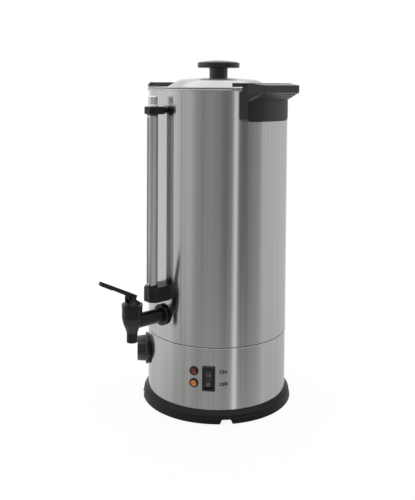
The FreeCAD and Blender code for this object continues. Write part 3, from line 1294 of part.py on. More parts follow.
def make_gauge_pipe():
    """Pipe from the tank into the gauge block, with its washer and nut inside the tank."""
    seat = facing_out("0", gauge_seat, size.gauge_pipe_level)
    behind = f"({size.gauge_washer_thick} + {size.gauge_nut_thick} + 1)"
    ahead = f"({size.shell_radius} + {size.pipe_in_block} - {gauge_seat})"
    washer("gauge_pipe", seat, f"-{behind}", ahead, size.gauge_pipe_radius, size.gauge_pipe_bore)
    bore = f"{size.gauge_pipe_radius} + {size.running_fit}"
    washer("gauge_washer", seat, f"-{size.gauge_washer_thick}", "0", size.gauge_washer_radius, bore)
    hex_nut("gauge_nut", seat, f"-{size.gauge_washer_thick} - {size.gauge_nut_thick}",
            f"-{size.gauge_washer_thick}", size.gauge_nut_radius, bore)


def make_thermostat():
    """Thermostat behind the skirt with its bush and nut, and the shaft with the fluted knob."""
    spot = facing_out(size.control_azimuth, size.skirt_radius, size.control_level)
    body = new_body("thermostat_body", spot)
    case = sketch_on(body, "XY_Plane", f"-{size.control_box_inset} - {size.control_box_depth}")
    half = f"{size.control_box} / 2"
    draw_box(case, f"-{half}", f"-{half}", half, half)
    pad(body, case, size.control_box_depth)
    bush = sketch_on(body, "XY_Plane", f"-{size.control_box_inset}")
    draw_circle(bush, "0", "0", size.bush_radius)
    pad(body, bush, f"{size.control_box_inset} + {size.bush_length}")
    bore = sketch_on(body, "XY_Plane", size.bush_length)
    draw_circle(bore, "0", "0", f"{size.shaft_radius} + {size.running_fit}")
    shaft_foot = f"({size.control_box_inset} + {size.shaft_in_box})"
    pocket(body, bore, f"{size.bush_length} + {shaft_foot}")
    for sign in ("-", ""):
        blade = sketch_on(body, "XY_Plane", f"-{size.control_box_inset} - {size.control_box_depth}")
        middle = f"{sign}{size.spade_pitch} / 2"
        draw_box(blade, f"{middle} - {size.spade_thick} / 2", f"-{size.spade_width} / 2",
                 f"{middle} + {size.spade_thick} / 2", f"{size.spade_width} / 2")
        pad(body, blade, size.spade_length, back=True)
    hex_nut("thermostat_nut", spot, size.shell_hole_gap, f"{size.shell_hole_gap} + {size.control_nut_thick}",
            size.control_nut_radius, f"{size.bush_radius} + {size.running_fit}")
    shaft = new_body("thermostat_shaft", spot)
    rod = sketch_on(shaft, "XY_Plane", f"{size.running_fit} - {shaft_foot}")
    draw_circle(rod, "0", "0", size.shaft_radius)
    hollow_top = f"({size.dial_gap} + {size.dial_hollow_depth})"
    pad(shaft, rod, f"{shaft_foot} + {hollow_top} + {size.shaft_in_dial} - 2 * {size.running_fit}")
    knob = new_body("thermostat_knob", spot)
    outline = sketch_on(knob, "XZ_Plane")
    top = f"({size.dial_gap} + {size.dial_depth})"
    draw_outline(outline, [
        ("0", hollow_top),
        (size.dial_hollow, hollow_top),
        (size.dial_hollow, size.dial_gap),
        (size.dial_radius, size.dial_gap),
        (size.dial_radius, f"{size.dial_gap} + {size.dial_thick} * 0.6"),
        (f"{size.dial_radius} - {size.dial_thick} * 0.4", f"{size.dial_gap} + {size.dial_thick}"),
        (size.dial_grip_radius, f"{size.dial_gap} + {size.dial_thick}"),
        (f"{size.dial_grip_radius} - 1", f"{top} - 1"),
        (f"{size.dial_grip_radius} - 2", top),
        ("0", top),
    ])
    turn(knob, outline)
    flute = sketch_on(knob, "XY_Plane", f"{size.dial_gap} + {size.dial_thick}")
    draw_circle(flute, "0", f"{size.dial_grip_radius} + {size.flute_offset}", size.flute_radius)
    cut = pocket(knob, flute, size.dial_depth, back=True)
    pattern(knob, [cut], size.flute_count)
    socket = sketch_on(knob, "XY_Plane")
    draw_circle(socket, "0", "0", f"{size.shaft_radius} + {size.running_fit}")
    pocket(knob, socket, f"{hollow_top} + {size.shaft_in_dial}", back=True)


def make_switch():
    """Rocker switch: housing with its frame and terminals, and the rocker on its two trunnions."""
    spot = facing_out(size.switch_azimuth, size.skirt_radius, size.switch_level)
    body = new_body("switch_housing", spot)
    case = sketch_on(body, "XY_Plane", f"-{size.switch_body_depth}")
    wide = f"{size.switch_body_width} / 2"
    tall = f"{size.switch_body_height} / 2"
    draw_box(case, f"-{wide}", f"-{tall}", wide, tall)
    pad(body, case, size.switch_body_depth)
    frame_sketch = sketch_on(body, "XY_Plane")
    frame_wide = f"{size.bezel_width} / 2"
    frame_tall = f"{size.bezel_height} / 2"
    draw_box(frame_sketch, f"-{frame_wide}", f"-{frame_tall}", frame_wide, frame_tall)
    pad(body, frame_sketch, size.bezel_thick)
    round_edges(body, size.bezel_rounding,
                lambda edge: is_near(edge.BoundBox.ZMax, size.bezel_thick))
    window = sketch_on(body, "XY_Plane", size.bezel_thick)
    open_wide = f"({size.rocker_width} / 2 + {size.rocker_gap})"
    open_tall = f"({size.rocker_height} / 2 + {size.rocker_gap})"
    draw_box(window, f"-{open_wide}", f"-{open_tall}", open_wide, open_tall)
    depth = f"({size.rocker_pivot_depth} + {size.rocker_well} + {size.bezel_thick})"
    pocket(body, window, depth)
    pivot = sketch_on(body, "YZ_Plane")
    draw_circle(pivot, "0", f"-{size.rocker_pivot_depth}", f"{size.rocker_pin_radius} + {size.running_fit}")
    pocket(body, pivot, f"{size.switch_body_width} + 1", middle=True)
    for step in (-1, 0, 1):
        blade = sketch_on(body, "XY_Plane", f"-{size.switch_body_depth}")
        middle = f"{step} * {size.spade_pitch}"
        draw_box(blade, f"-{size.spade_width} / 2", f"{middle} - {size.spade_thick} / 2",
                 f"{size.spade_width} / 2", f"{middle} + {size.spade_thick} / 2")
        pad(body, blade, size.spade_length, back=True)
    pivot_reach = f"{size.skirt_radius} - {size.rocker_pivot_depth}"
    rocker = new_body("switch_rocker", facing_out(size.switch_azimuth, pivot_reach, size.switch_level,
                                                  tilt=f"-{size.rocker_angle}"))
    profile = sketch_on(rocker, "YZ_Plane")
    end = f"({size.rocker_height} / 2 - 0.1)"
    shoulder = f"({end} - {size.rocker_lean})"
    dip = f"({size.rocker_pivot_depth} + {size.bezel_thick} + {size.rocker_proud})"
    crest = f"({dip} + {shoulder} * tan({size.rocker_angle} * 1deg))"
    draw_outline(profile, [
        (f"-{end}", f"-{size.rocker_heel}"),
        (end, f"-{size.rocker_heel}"),
        (shoulder, crest),
        ("0", dip),
        (f"-{shoulder}", crest),
    ])
    pad(rocker, profile, size.rocker_width, middle=True)
    trunnion = sketch_on(rocker, "YZ_Plane")
    draw_circle(trunnion, "0", "0", size.rocker_pin_radius)
    pad(rocker, trunnion, f"2 * {size.rocker_pin_reach}", middle=True)


def make_lamps():
    """Two indicator lamps, each a holder through the skirt and a domed lens in it."""
    holders = []
    for colour, level in (("red", size.lamp_upper), ("amber", size.lamp_lower)):
        spot = facing_out(size.lamp_azimuth, size.skirt_radius, level)
        holder = new_body(f"lamp_holder_{colour}", spot)
        profile = sketch_on(holder, "XZ_Plane")
        bore = f"({size.lens_stem} + {size.running_fit})"
        draw_outline(profile, [
            ("0", f"-{size.lamp_depth}"),
            (size.lamp_stem_radius, f"-{size.lamp_depth}"),
            (size.lamp_stem_radius, "0"),
            (size.lamp_ring_radius, "0"),
            (size.lamp_ring_radius, f"{size.lamp_ring_thick} * 0.6"),
            (f"{size.lamp_ring_radius} - {size.lamp_ring_thick} * 0.4", size.lamp_ring_thick),
            (bore, size.lamp_ring_thick),
            (bore, f"-{size.lens_depth}"),
            ("0", f"-{size.lens_depth}"),
        ])
        turn(holder, profile)
        holders.append(holder)
        lens = new_body(f"lamp_{colour}", spot)
        outline = sketch_on(lens, "XZ_Plane")
        wall = f"({size.lamp_ring_thick} + 0.8)"
        rise = f"({size.lamp_proud} - 0.8)"
        dome = f"(({size.lamp_radius}^2 + {rise}^2) / (2 * {rise}))"
        draw_outline(outline, [
            ("0", f"{size.running_fit} - {size.lens_depth}"),
            (size.lens_stem, f"{size.running_fit} - {size.lens_depth}"),
            (size.lens_stem, size.lamp_ring_thick),
            (size.lamp_radius, size.lamp_ring_thick),
            (size.lamp_radius, wall, dome),
            ("0", f"{wall} + {rise}"),
        ])
        turn(lens, outline)
    group("lamp_holders", holders)


def make_power_gland():
    """Mains gland at the back of the skirt, its nut, and the terminal block on the bottom plate."""
    spot = facing_out(size.gland_azimuth, size.skirt_radius, size.gland_level)
    body = new_body("power_gland", spot)
    profile = sketch_on(body, "XZ_Plane")
    draw_outline(profile, [
        (size.gland_bore, f"-{size.gland_inside}"),
        (size.gland_thread, f"-{size.gland_inside}"),
        (size.gland_thread, "0"),
        (size.gland_radius, "0"),
        (size.gland_radius, f"{size.gland_proud} * 0.5"),
        (f"{size.gland_bore} + 2", size.gland_proud),
        (size.gland_bore, size.gland_proud),
    ])
    turn(body, profile)
    nut_face = (f"({size.skirt_radius} + {size.shell_hole_gap}"
                f" - sqrt({skirt_inner}^2 - {size.gland_nut_radius}^2))")
    hex_nut("gland_nut", spot, f"-{nut_face} - {size.gland_nut_thick}", f"-{nut_face}",
            size.gland_nut_radius, f"{size.gland_thread} + {size.running_fit}")
    block = new_body("terminal_block", f"placement(vector(0; {size.terminal_reach}; {plate_top}); "
                                       "rotation(vector(0; 0; 1); 0))")
    base = sketch_on(block, "XY_Plane")
    draw_box(base, f"-{size.terminal_length} / 2", f"-{size.terminal_width} / 2",
             f"{size.terminal_length} / 2", f"{size.terminal_width} / 2")
    pad(block, base, size.terminal_height)
    wells = sketch_on(block, "XY_Plane", size.terminal_height)
    for step in (-1, 0, 1):
        for side in ("-", ""):
            draw_circle(wells, f"{step} * {size.terminal_pitch}", f"{side}{size.terminal_width} / 4",
                        size.terminal_screw_radius)
    pocket(block, wells, f"{size.terminal_height} / 2")


make_outer_shell()
make_inner_tank()
make_joint_ring()
make_skirt()
make_base_ring()
make_foot_pads()
make_bottom_plate()
make_base_screws()
make_heat_shield()
make_heating_element()
make_boil_dry_cutout()
make_lid()
make_lid_knob()
make_lid_fastening()
for handle_side, handle_azimuth in handle_azimuths.items():
    make_handle(handle_side, handle_azimuth)
make_handle_screws()
make_tap_body()
make_tap_mounting()
make_tap_bonnet()
make_tap_lever()
make_valve()
make_gauge_holders()
make_gauge_guard()
make_gauge_glass()
make_gauge_pipe()
make_thermostat()
make_switch()
make_lamps()
make_power_gland()
doc.recompute()

for item in doc.Objects:
    if "Invalid" in item.State or "Error" in item.State:
        raise ValueError(f"{item.Label} failed: {item.State}")
for piece in parts:
    if piece.Shape.isNull() or not piece.Shape.isValid():
        raise ValueError(f"{piece.Label} has no valid shape")

os.makedirs("parts", exist_ok=True)
for piece in parts:
    piece.Shape.exportStep(f"parts/{piece.Label}.step")
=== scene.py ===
import logging
import math
from dataclasses import dataclass
from enum import Enum
from functools import cache

import bmesh
import bpy
import numpy as np
from bpy.types import ID, Material, Node, NodeSocket, NodeTree, Object
from mathutils import Matrix, Vector
from mathutils.bvhtree import BVHTree


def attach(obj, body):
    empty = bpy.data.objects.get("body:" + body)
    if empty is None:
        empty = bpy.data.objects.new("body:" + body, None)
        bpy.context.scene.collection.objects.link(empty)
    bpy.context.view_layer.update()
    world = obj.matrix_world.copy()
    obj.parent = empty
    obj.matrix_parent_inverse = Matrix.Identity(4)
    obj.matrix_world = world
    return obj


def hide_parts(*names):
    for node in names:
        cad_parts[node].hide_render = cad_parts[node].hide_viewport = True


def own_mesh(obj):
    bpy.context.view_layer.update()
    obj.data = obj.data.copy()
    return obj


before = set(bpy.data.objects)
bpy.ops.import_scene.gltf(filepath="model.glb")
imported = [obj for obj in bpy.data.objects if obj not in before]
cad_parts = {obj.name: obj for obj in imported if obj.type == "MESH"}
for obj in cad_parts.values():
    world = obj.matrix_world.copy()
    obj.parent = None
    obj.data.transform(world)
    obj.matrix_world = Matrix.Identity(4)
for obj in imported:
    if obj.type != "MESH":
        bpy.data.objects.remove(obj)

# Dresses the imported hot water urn. Lengths are in metres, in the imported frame: +Z up, tap towards -Y.
LOG = logging.getLogger("urn")
VIEW_AZIMUTH = math.radians(48)
MERGE_DISTANCE = 1e-6
SHARP_ANGLE = math.radians(40)
CAPITAL_SHARE = 0.7
LETTER_STEPS = 3
SEARCH_START = 0.03
SKIRT_RADIUS = 0.1095
UPWARDS = np.array((0.0, 0.0, 1.0))
ACROSS = np.array((1.0, 0.0, 0.0))
WHITE = (1, 1, 1, 1)
Pairs = tuple[tuple[float, float], ...]


class Grain(Enum):
    """Which way the lines of brushed steel run, with the stretch of the fine and of the broad ones."""

    UPRIGHT = ((900, 900, 6), (190, 190, 0.6))
    ROUND = ((1600, 1, 1600), (260, 1, 260))


class Nodes:
    """Builds one node tree with short calls."""

    def __init__(self, tree: NodeTree) -> None:
        """Starts from an empty tree."""
        self.tree = tree
        tree.nodes.clear()

    def add(self, kind: str, **settings: object) -> Node:
        """Adds a node, named without its "ShaderNode" start, with the given settings."""
        node = self.tree.nodes.new("ShaderNode" + kind)
        for name, setting in settings.items():
            setattr(node, name, setting)
        return node

    def put(self, socket: NodeSocket, entry: object) -> None:
        """Links a socket or sets its number, whichever the entry is."""
        if isinstance(entry, NodeSocket):
            self.tree.links.new(entry, socket)
        else:
            socket.default_value = entry

    def fill(self, node: Node, entries: dict[str, object]) -> None:
        """Puts each entry into the input of its name."""
        for name, entry in entries.items():
            self.put(node.inputs[name], entry)

    def maths(self, operation: str, first: object, second: object = 0.0) -> NodeSocket:
        """Adds a Math node and gives its result."""
        node = self.add("Math", operation=operation)
        self.put(node.inputs[0], first)
        self.put(node.inputs[1], second)
        return node.outputs[0]

    def noise(self, vector: object, scale: float, detail: float = 3.0, rough: float = 0.5) -> NodeSocket:
        """Adds a noise texture read at a place and gives its value."""
        node = self.add("TexNoise")
        self.fill(node, {"Vector": vector, "Scale": scale, "Detail": detail, "Roughness": rough})
        return node.outputs["Fac"]

    def stretched(self, vector: object, scale: tuple[float, float, float]) -> NodeSocket:
        """Gives a place stretched along X, Y and Z."""
        node = self.add("Mapping")
        self.fill(node, {"Vector": vector, "Scale": scale})
        return node.outputs["Vector"]

    def ramp(self, factor: object, stops: Pairs) -> NodeSocket:
        """Adds a grey ramp through the given pairs of place and grey."""
        node = self.add("ValToRGB")
        elements = node.color_ramp.elements
        while len(elements) < len(stops):
            elements.new(0.5)
        for element, (place, grey) in zip(elements, stops):
            element.position = place
            element.color = (grey, grey, grey, 1)
        self.put(node.inputs["Fac"], factor)
        return node.outputs["Color"]

    def mapped(self, value: object, low: float, high: float) -> NodeSocket:
        """Stretches a value of 0 to 1 onto a range."""
        node = self.add("MapRange")
        self.fill(node, {"Value": value, "To Min": low, "To Max": high})
        return node.outputs["Result"]

    def smooth(self, value: object, start: float, end: float) -> NodeSocket:
        """Adds a smooth step that is 0 at the start and 1 at the end."""
        node = self.add("MapRange", interpolation_type="SMOOTHSTEP")
        self.fill(node, {"Value": value, "From Min": start, "From Max": end})
        return node.outputs["Result"]

    def mixed(self, factor: object, first: object, second: object) -> NodeSocket:
        """Mixes two colours or sockets by the share of the second."""
        node = self.add("Mix", data_type="RGBA")
        self.fill(node, {"Factor": factor, "A": first, "B": second})
        return node.outputs["Result"]

    def blended(self, share: object, first: Node, second: Node) -> Node:
        """Mixes two shaders by the share of the second."""
        node = self.add("MixShader")
        for socket, entry in zip(node.inputs, (share, first.outputs[0], second.outputs[0])):
            self.put(socket, entry)
        return node

    def bumped(self, shader: Node, height: object, strength: float, depth: float) -> None:
        """Gives a shader a bump that follows a height."""
        bump = self.add("Bump")
        self.fill(bump, {"Strength": strength, "Distance": depth, "Height": height})
        self.put(shader.inputs["Normal"], bump.outputs["Normal"])

    def place(self) -> NodeSocket:
        """Gives the place in Object coordinates."""
        return self.add("TexCoord").outputs["Object"]

    def split(self, place: object) -> tuple[NodeSocket, ...]:
        """Splits a place into its X, Y and Z."""
        node = self.add("SeparateXYZ")
        self.put(node.inputs[0], place)
        return tuple(node.outputs)

    def looked_at(self) -> NodeSocket:
        """Gives 1 to rays from the camera, also through glass, and 0 to all others."""
        rays = self.add("LightPath")
        return self.maths("MAXIMUM", rays.outputs["Is Camera Ray"], rays.outputs["Is Transmission Ray"])


@dataclass(frozen=True)
class Finish:
    """A finish that several pieces share."""

    name: str
    colour: tuple[float, float, float]
    roughness: float = 0.4
    metallic: float = 0.0
    patch_scale: float = 60
    gloss_scale: float = 150
    tint_swing: float = 0.1
    gloss_swing: float = 0.15

    def start(self) -> tuple[Material, Nodes, Node]:
        """Makes the material with its shader.

        Returns:
            The material, its node builder and its Principled shader.
        """
        material = bpy.data.materials.new(self.name)
        material.use_nodes = True
        nodes = Nodes(material.node_tree)
        shader = nodes.add("BsdfPrincipled")
        nodes.put(nodes.add("OutputMaterial").inputs["Surface"], shader.outputs["BSDF"])
        nodes.fill(shader, {"Base Color": self.shade(1), "Roughness": self.roughness, "Metallic": self.metallic})
        return material, nodes, shader

    def shade(self, share: float) -> tuple[float, float, float, float]:
        """Gives the colour times a share."""
        return (*[part * share for part in self.colour], 1)

    def vary(self, nodes: Nodes, shader: Node, tint: object, gloss: object) -> None:
        """Lets colour and roughness swing about the finish's own.

        Args:
            nodes: The node builder.
            shader: The shader.
            tint: The socket that the colour follows, from 0 to 1.
            gloss: The socket that the roughness follows, from 0 to 1.
        """
        colour = nodes.mixed(tint, self.shade(1 - self.tint_swing), self.shade(1 + self.tint_swing))
        rough = nodes.mapped(gloss, self.roughness * (1 - self.gloss_swing), self.roughness * (1 + self.gloss_swing))
        nodes.fill(shader, {"Base Color": colour, "Roughness": rough})

    def make(self) -> Material:
        """Makes the plain finish with a slight unevenness.

        Returns:
            The material.
        """
        material, nodes, shader = self.start()
        place = nodes.place()
        self.vary(nodes, shader, nodes.noise(place, self.patch_scale), nodes.noise(place, self.gloss_scale))
        return material


@dataclass(frozen=True)
class BrushedSteel(Finish):
    """Brushed stainless sheet with fine lines and a stretched reflection."""

    metallic: float = 1.0
    tint_swing: float = 0.14
    gloss_swing: float = 0.2
    anisotropy: float = 0.6
    turn: float = 0.25
    grain: Grain = Grain.UPRIGHT
    streak_stops: Pairs = ((0.36, 0.0), (0.64, 1.0))
    streak_detail: tuple[float, float] = (4, 3)
    streak_rough: float = 0.6
    fine_share: float = 0.5
    line_depth: float = 0.00002
    line_strength: float = 0.4

    def ring_place(self, nodes: Nodes) -> NodeSocket:
        """Gives the place as its distance from the urn's axis, 0 and its height."""
        across, ahead, height = nodes.split(nodes.place())
        square = nodes.maths("ADD", nodes.maths("POWER", across, 2.0), nodes.maths("POWER", ahead, 2.0))
        ring = nodes.add("CombineXYZ")
        nodes.put(ring.inputs[0], nodes.maths("SQRT", square))
        nodes.put(ring.inputs[2], height)
        return ring.outputs[0]

    def make(self) -> Material:
        """Makes the steel. Streaks are noise stretched along the brushing, read in colour, gloss and bump.

        Returns:
            The material.
        """
        material, nodes, shader = self.start()
        place = nodes.place() if self.grain is Grain.UPRIGHT else self.ring_place(nodes)
        fine, broad = (nodes.noise(nodes.stretched(place, stretch), 1.0, detail, self.streak_rough)
                       for stretch, detail in zip(self.grain.value, self.streak_detail))
        mean = nodes.maths("ADD", nodes.maths("MULTIPLY", fine, self.fine_share),
                           nodes.maths("MULTIPLY", broad, 1 - self.fine_share))
        both = nodes.ramp(mean, self.streak_stops)
        self.vary(nodes, shader, both, both)
        tangent = nodes.add("Tangent", direction_type="RADIAL", axis="Z").outputs["Tangent"]
        nodes.fill(shader, {"Anisotropic": self.anisotropy, "Anisotropic Rotation": self.turn, "Tangent": tangent})
        nodes.bumped(shader, mean, self.line_strength, self.line_depth)
        return material


@dataclass(frozen=True)
class Moulding(Finish):
    """Moulded plastic or rubber with a fine spark-eroded grain."""

    patch_scale: float = 25
    tint_swing: float = 0.15
    grain_size: float = 0.0006
    grain_depth: float = 0.00004
    grain_strength: float = 0.5
    grain_detail: float = 2.0
    patch_rough: float = 0.55
    specular: float = 0.5

    def make(self) -> Material:
        """Makes the plastic. The grain is a fine noise in bump, and a broad one varies colour and gloss.

        Returns:
            The material.
        """
        material, nodes, shader = self.start()
        place = nodes.place()
        grain = nodes.noise(place, 1 / self.grain_size, self.grain_detail)
        patch = nodes.noise(place, self.patch_scale, rough=self.patch_rough)
        self.vary(nodes, shader, patch, patch)
        shader.inputs["Specular IOR Level"].default_value = self.specular
        nodes.bumped(shader, grain, self.grain_strength, self.grain_depth)
        return material


@dataclass(frozen=True)
class ClearGlass(Finish):
    """Clear glass."""

    index: float = 1.5
    haze: float = 0.03
    haze_scale: float = 40

    def make(self) -> Material:
        """Makes the glass, with faint unevenness in its gloss.

        Returns:
            The material.
        """
        material, nodes, shader = self.start()
        rough = nodes.mapped(nodes.noise(nodes.place(), self.haze_scale), self.roughness, self.roughness + self.haze)
        nodes.fill(shader, {"Transmission Weight": 1.0, "IOR": self.index, "Roughness": rough})
        return material


@dataclass(frozen=True)
class LampLens(Finish):
    """Tinted clear lens over an unlit lamp, with painted shade that darkens its rim and a painted glow that leaves
    its middle a little light.
    """

    # The glow is painted light: an even emission in a lamp that is unlit
    glow: float = 0.15
    # Share and blend of the painted shade that darkens the rim where the lens turns from the view
    rim_shade_share: float = 0.12
    rim_shade_blend: float = 0.35
    coat: float = 0.6
    coat_roughness: float = 0.05

    def make(self) -> Material:
        """Makes the lens, with its painted rim shade and painted glow.

        Returns:
            The material.
        """
        material, nodes, shader = self.start()
        # Painted shade: the colour darkens towards the rim as the surface turns from the view
        facing = nodes.add("LayerWeight")
        facing.inputs["Blend"].default_value = self.rim_shade_blend
        colour = nodes.mixed(facing.outputs["Facing"], self.shade(1), self.shade(self.rim_shade_share))
        # Painted glow: an even emission over the whole lens of an unlit lamp
        nodes.fill(shader, {"Base Color": colour, "Coat Weight": self.coat, "Coat Roughness": self.coat_roughness,
                            "Emission Color": self.shade(1), "Emission Strength": self.glow})
        return material


CASING_STEEL = BrushedSteel("casing_steel", (0.66, 0.66, 0.645), roughness=0.17, anisotropy=0.7, line_depth=0.000007,
                            tint_swing=0.07, fine_share=0.2)
LID_STEEL = BrushedSteel("lid_steel", (0.61, 0.61, 0.6), roughness=0.26, anisotropy=0.4, grain=Grain.ROUND)
TANK_STEEL = BrushedSteel("tank_steel", (0.6, 0.6, 0.59), roughness=0.3, anisotropy=0.3, grain=Grain.ROUND)
GUARD_STEEL = BrushedSteel("guard_steel", (0.7, 0.7, 0.69), roughness=0.36, anisotropy=0.3, line_depth=0.000005)
WELD_STEEL = Finish("weld_steel", (0.4, 0.4, 0.39), roughness=0.4, metallic=1.0)
EDGE_STEEL = Finish("edge_steel", (0.78, 0.78, 0.77), roughness=0.15, metallic=1.0)
PRINT_WHITE = Finish("white_print", (0.75, 0.75, 0.73), roughness=0.5)
PRINT_GREY = Finish("grey_print", (0.3, 0.3, 0.3), roughness=0.5)
ROCKER_PLASTIC = Moulding("rocker_plastic", (0.024, 0.025, 0.027), roughness=0.32, grain_depth=0.00001)
PRINT_BLACK = Finish("black_print", (0.012, 0.012, 0.012), roughness=0.6)
MARK_RED = Finish("red_mark", (0.3, 0.03, 0.035), roughness=0.4)
TICK_GREY = Finish("tick_grey", (0.16, 0.16, 0.16), roughness=0.5)
SEAM_DARK = Moulding("seam_dark", (0.02, 0.02, 0.021), roughness=0.6)
ZINC_STEEL = Finish("zinc_steel", (0.55, 0.56, 0.57), roughness=0.35, metallic=1.0)
BRIGHT_STEEL = Finish("bright_steel", (0.9, 0.9, 0.91), roughness=0.08, metallic=1.0)
BRASS = Finish("turned_brass", (0.68, 0.5, 0.22), roughness=0.28, metallic=1.0)
HANDLE_PLASTIC = Moulding("handle_plastic", (0.0108, 0.0118, 0.0134), roughness=0.26, specular=0.7)
TAP_PLASTIC = Moulding("tap_plastic", (0.008, 0.0084, 0.009), roughness=0.28, grain_depth=0.00002, specular=0.35)
BASE_PLASTIC = Moulding("base_plastic", (0.0105, 0.011, 0.012), roughness=0.38, specular=0.22)
SWITCH_PLASTIC = Moulding("switch_plastic", (0.009, 0.009, 0.01), roughness=0.25, grain_depth=0.00001)
PAD_RUBBER = Moulding("pad_rubber", (0.014, 0.014, 0.014), roughness=0.75, grain_size=0.001)
SEAL_RUBBER = Moulding("seal_rubber", (0.28, 0.06, 0.04), roughness=0.6)
PALE_MOULDING = Moulding("pale_moulding", (0.72, 0.7, 0.63), roughness=0.5)
GAUGE_GLASS = ClearGlass("gauge_glass", (0.985, 0.988, 0.986), roughness=0.0)
# The glow of both lenses is painted light, as their lamps are unlit
RED_LENS = LampLens("red_lens", (0.15, 0.01, 0.012), roughness=0.12, glow=0.04)
AMBER_LENS = LampLens("amber_lens", (0.62, 0.19, 0.03), roughness=0.12, glow=0.08)


@dataclass
class Studio:
    """Camera, lights, floor and world."""

    distance: float = 1.1552
    height: float = 0.5027
    pitch: float = math.radians(2.679)
    yaw: float = -0.0148
    roll: float = 0.0065
    focal_pixels: float = 725.0
    centre_row: float = 114.6
    image_rows: int = 500
    sensor: float = 36
    clip: tuple[float, float] = (0.01, 100)
    floor_reach: float = 40.0
    floor_white: float = 0.96
    backdrop_share: float = 0.88
    backdrop_glow: float = 1.03
    sky_grey: float = 0.15
    ceiling_power: float = 1.6
    ceiling_spread: float = math.radians(100)
    # Pairs of degrees off the camera, positive to its right, and the grey of the walls there
    walls: Pairs = (
        (-180, 1.0), (-165, 0.9), (-140, 0.7), (-80, 0.78), (-70, 0.62), (-60, 0.5), (-43, 0.5), (-37, 0.38),
        (-24, 0.24), (-10, 0.32), (0, 0.27), (8, 0.2), (15, 0.16), (21, 0.2), (25, 0.42), (27.5, 0.82),
        (31, 0.82), (34, 0.24), (38, 0.15), (46, 0.11), (51, 0.24), (72, 0.34), (77, 0.56), (130, 0.6),
        (150, 0.58), (172, 0.9), (180, 1.0))
    # The same for the table that the lower part of the urn mirrors
    table: Pairs = (
        (-180, 0.6), (-100, 0.5), (-75, 0.33), (-40, 0.31), (-22, 0.36), (22, 0.36), (27, 0.85), (31, 0.85),
        (35, 0.38), (50, 0.33), (66, 0.42), (80, 0.5), (130, 0.52), (180, 0.6))
    # Steps by the sine of the height: from walls to table, from table to the white at the urn's foot, and overhead
    table_edge: tuple[float, float] = (-0.24, -0.45)
    near_edge: tuple[float, float] = (-0.5, -0.75)
    sky_stops: Pairs = ((0.55, 0.0), (0.95, 1.0))

    def camera(self) -> None:
        """Makes the camera of the photograph: level turn, small tilt and roll, and a shifted frame."""
        data = bpy.data.cameras.new("camera")
        view = placed("camera", data)
        bpy.context.scene.camera = view
        forward = Vector((math.sin(self.yaw) * math.cos(self.pitch), math.cos(self.yaw) * math.cos(self.pitch),
                          -math.sin(self.pitch)))
        right = Vector((math.cos(self.yaw), -math.sin(self.yaw), 0))
        up = right.cross(forward)
        side = right * math.cos(self.roll) + up * math.sin(self.roll)
        top = up * math.cos(self.roll) - right * math.sin(self.roll)
        axes = Matrix((side, top, -forward)).transposed()
        turn = Matrix.Rotation(VIEW_AZIMUTH, 3, "Z")
        place = Vector((math.sin(VIEW_AZIMUTH) * self.distance, -math.cos(VIEW_AZIMUTH) * self.distance,
                        self.height))
        view.matrix_world = Matrix.Translation(place) @ (turn @ axes).to_4x4()
        data.sensor_width = self.sensor
        data.lens = self.focal_pixels / self.image_rows * self.sensor
        data.shift_y = (self.centre_row - self.image_rows / 2) / self.image_rows
        data.clip_start, data.clip_end = self.clip

    def world(self) -> None:
        """Makes the world: white to the camera, and a grey that changes with the bearing to everything else."""
        world = bpy.data.worlds.new("studio")
        bpy.context.scene.world = world
        world.use_nodes = True
        nodes = Nodes(world.node_tree)
        across, ahead, height = nodes.split(nodes.add("TexCoord").outputs["Generated"])
        bearing = nodes.maths("ARCTAN2", across, nodes.maths("MULTIPLY", ahead, -1.0))
        turned = nodes.maths("SUBTRACT", bearing, VIEW_AZIMUTH)
        share = nodes.maths("FRACT", nodes.maths("ADD", nodes.maths("DIVIDE", turned, 2 * math.pi), 1.5))
        walls, table = (nodes.ramp(share, [((degrees + 180) / 360, grey) for degrees, grey in stops])
                        for stops in (self.walls, self.table))
        around = nodes.mixed(nodes.smooth(height, *self.table_edge), walls, table)
        below = nodes.mixed(nodes.smooth(height, *self.near_edge), around, WHITE)
        overhead = nodes.ramp(nodes.mapped(height, 0.0, 1.0), self.sky_stops)
        sky = nodes.mixed(overhead, below, (*[self.sky_grey] * 3, 1))
        background = nodes.add("Background")
        nodes.put(background.inputs["Color"], nodes.mixed(nodes.looked_at(), sky, WHITE))
        nodes.put(nodes.add("OutputWorld").inputs["Surface"], background.outputs[0])

    def ceiling_light(self) -> None:
        """Hangs a broad soft light overhead, the same over the whole floor."""
        data = bpy.data.lights.new("ceiling_light", "SUN")
        data.energy = self.ceiling_power
        data.angle = self.ceiling_spread
        placed("ceiling_light", data)

    def floor(self) -> None:
        """Lays the pale floor, a flat sheet of two triangles."""
        mesh = bpy.data.meshes.new("floor")
        reach = self.floor_reach
        mesh.from_pydata([(-reach, -reach, 0), (reach, -reach, 0), (reach, reach, 0), (-reach, reach, 0)], [],
                         [(0, 1, 2, 3)])
        mesh.materials.append(self.floor_paint())
        floor = placed("floor", mesh)

    def floor_paint(self) -> Material:
        """Makes the floor's white paint, which mirror rays pass, so that the steel shows the studio's walls.

        Returns:
            The material.
        """
        material = bpy.data.materials.new("floor_paint")
        material.use_nodes = True
        nodes = Nodes(material.node_tree)
        painted = nodes.add("BsdfDiffuse")
        painted.inputs["Color"].default_value = (*[self.floor_white] * 3, 1)
        glow = nodes.add("Emission")
        glow.inputs["Strength"].default_value = self.backdrop_glow
        backdrop = nodes.blended(nodes.maths("MULTIPLY", nodes.looked_at(), self.backdrop_share), painted, glow)
        mirrored = nodes.add("LightPath").outputs["Is Glossy Ray"]
        passed = nodes.blended(mirrored, backdrop, nodes.add("BsdfTransparent"))
        nodes.put(nodes.add("OutputMaterial").inputs["Surface"], passed.outputs[0])
        return material

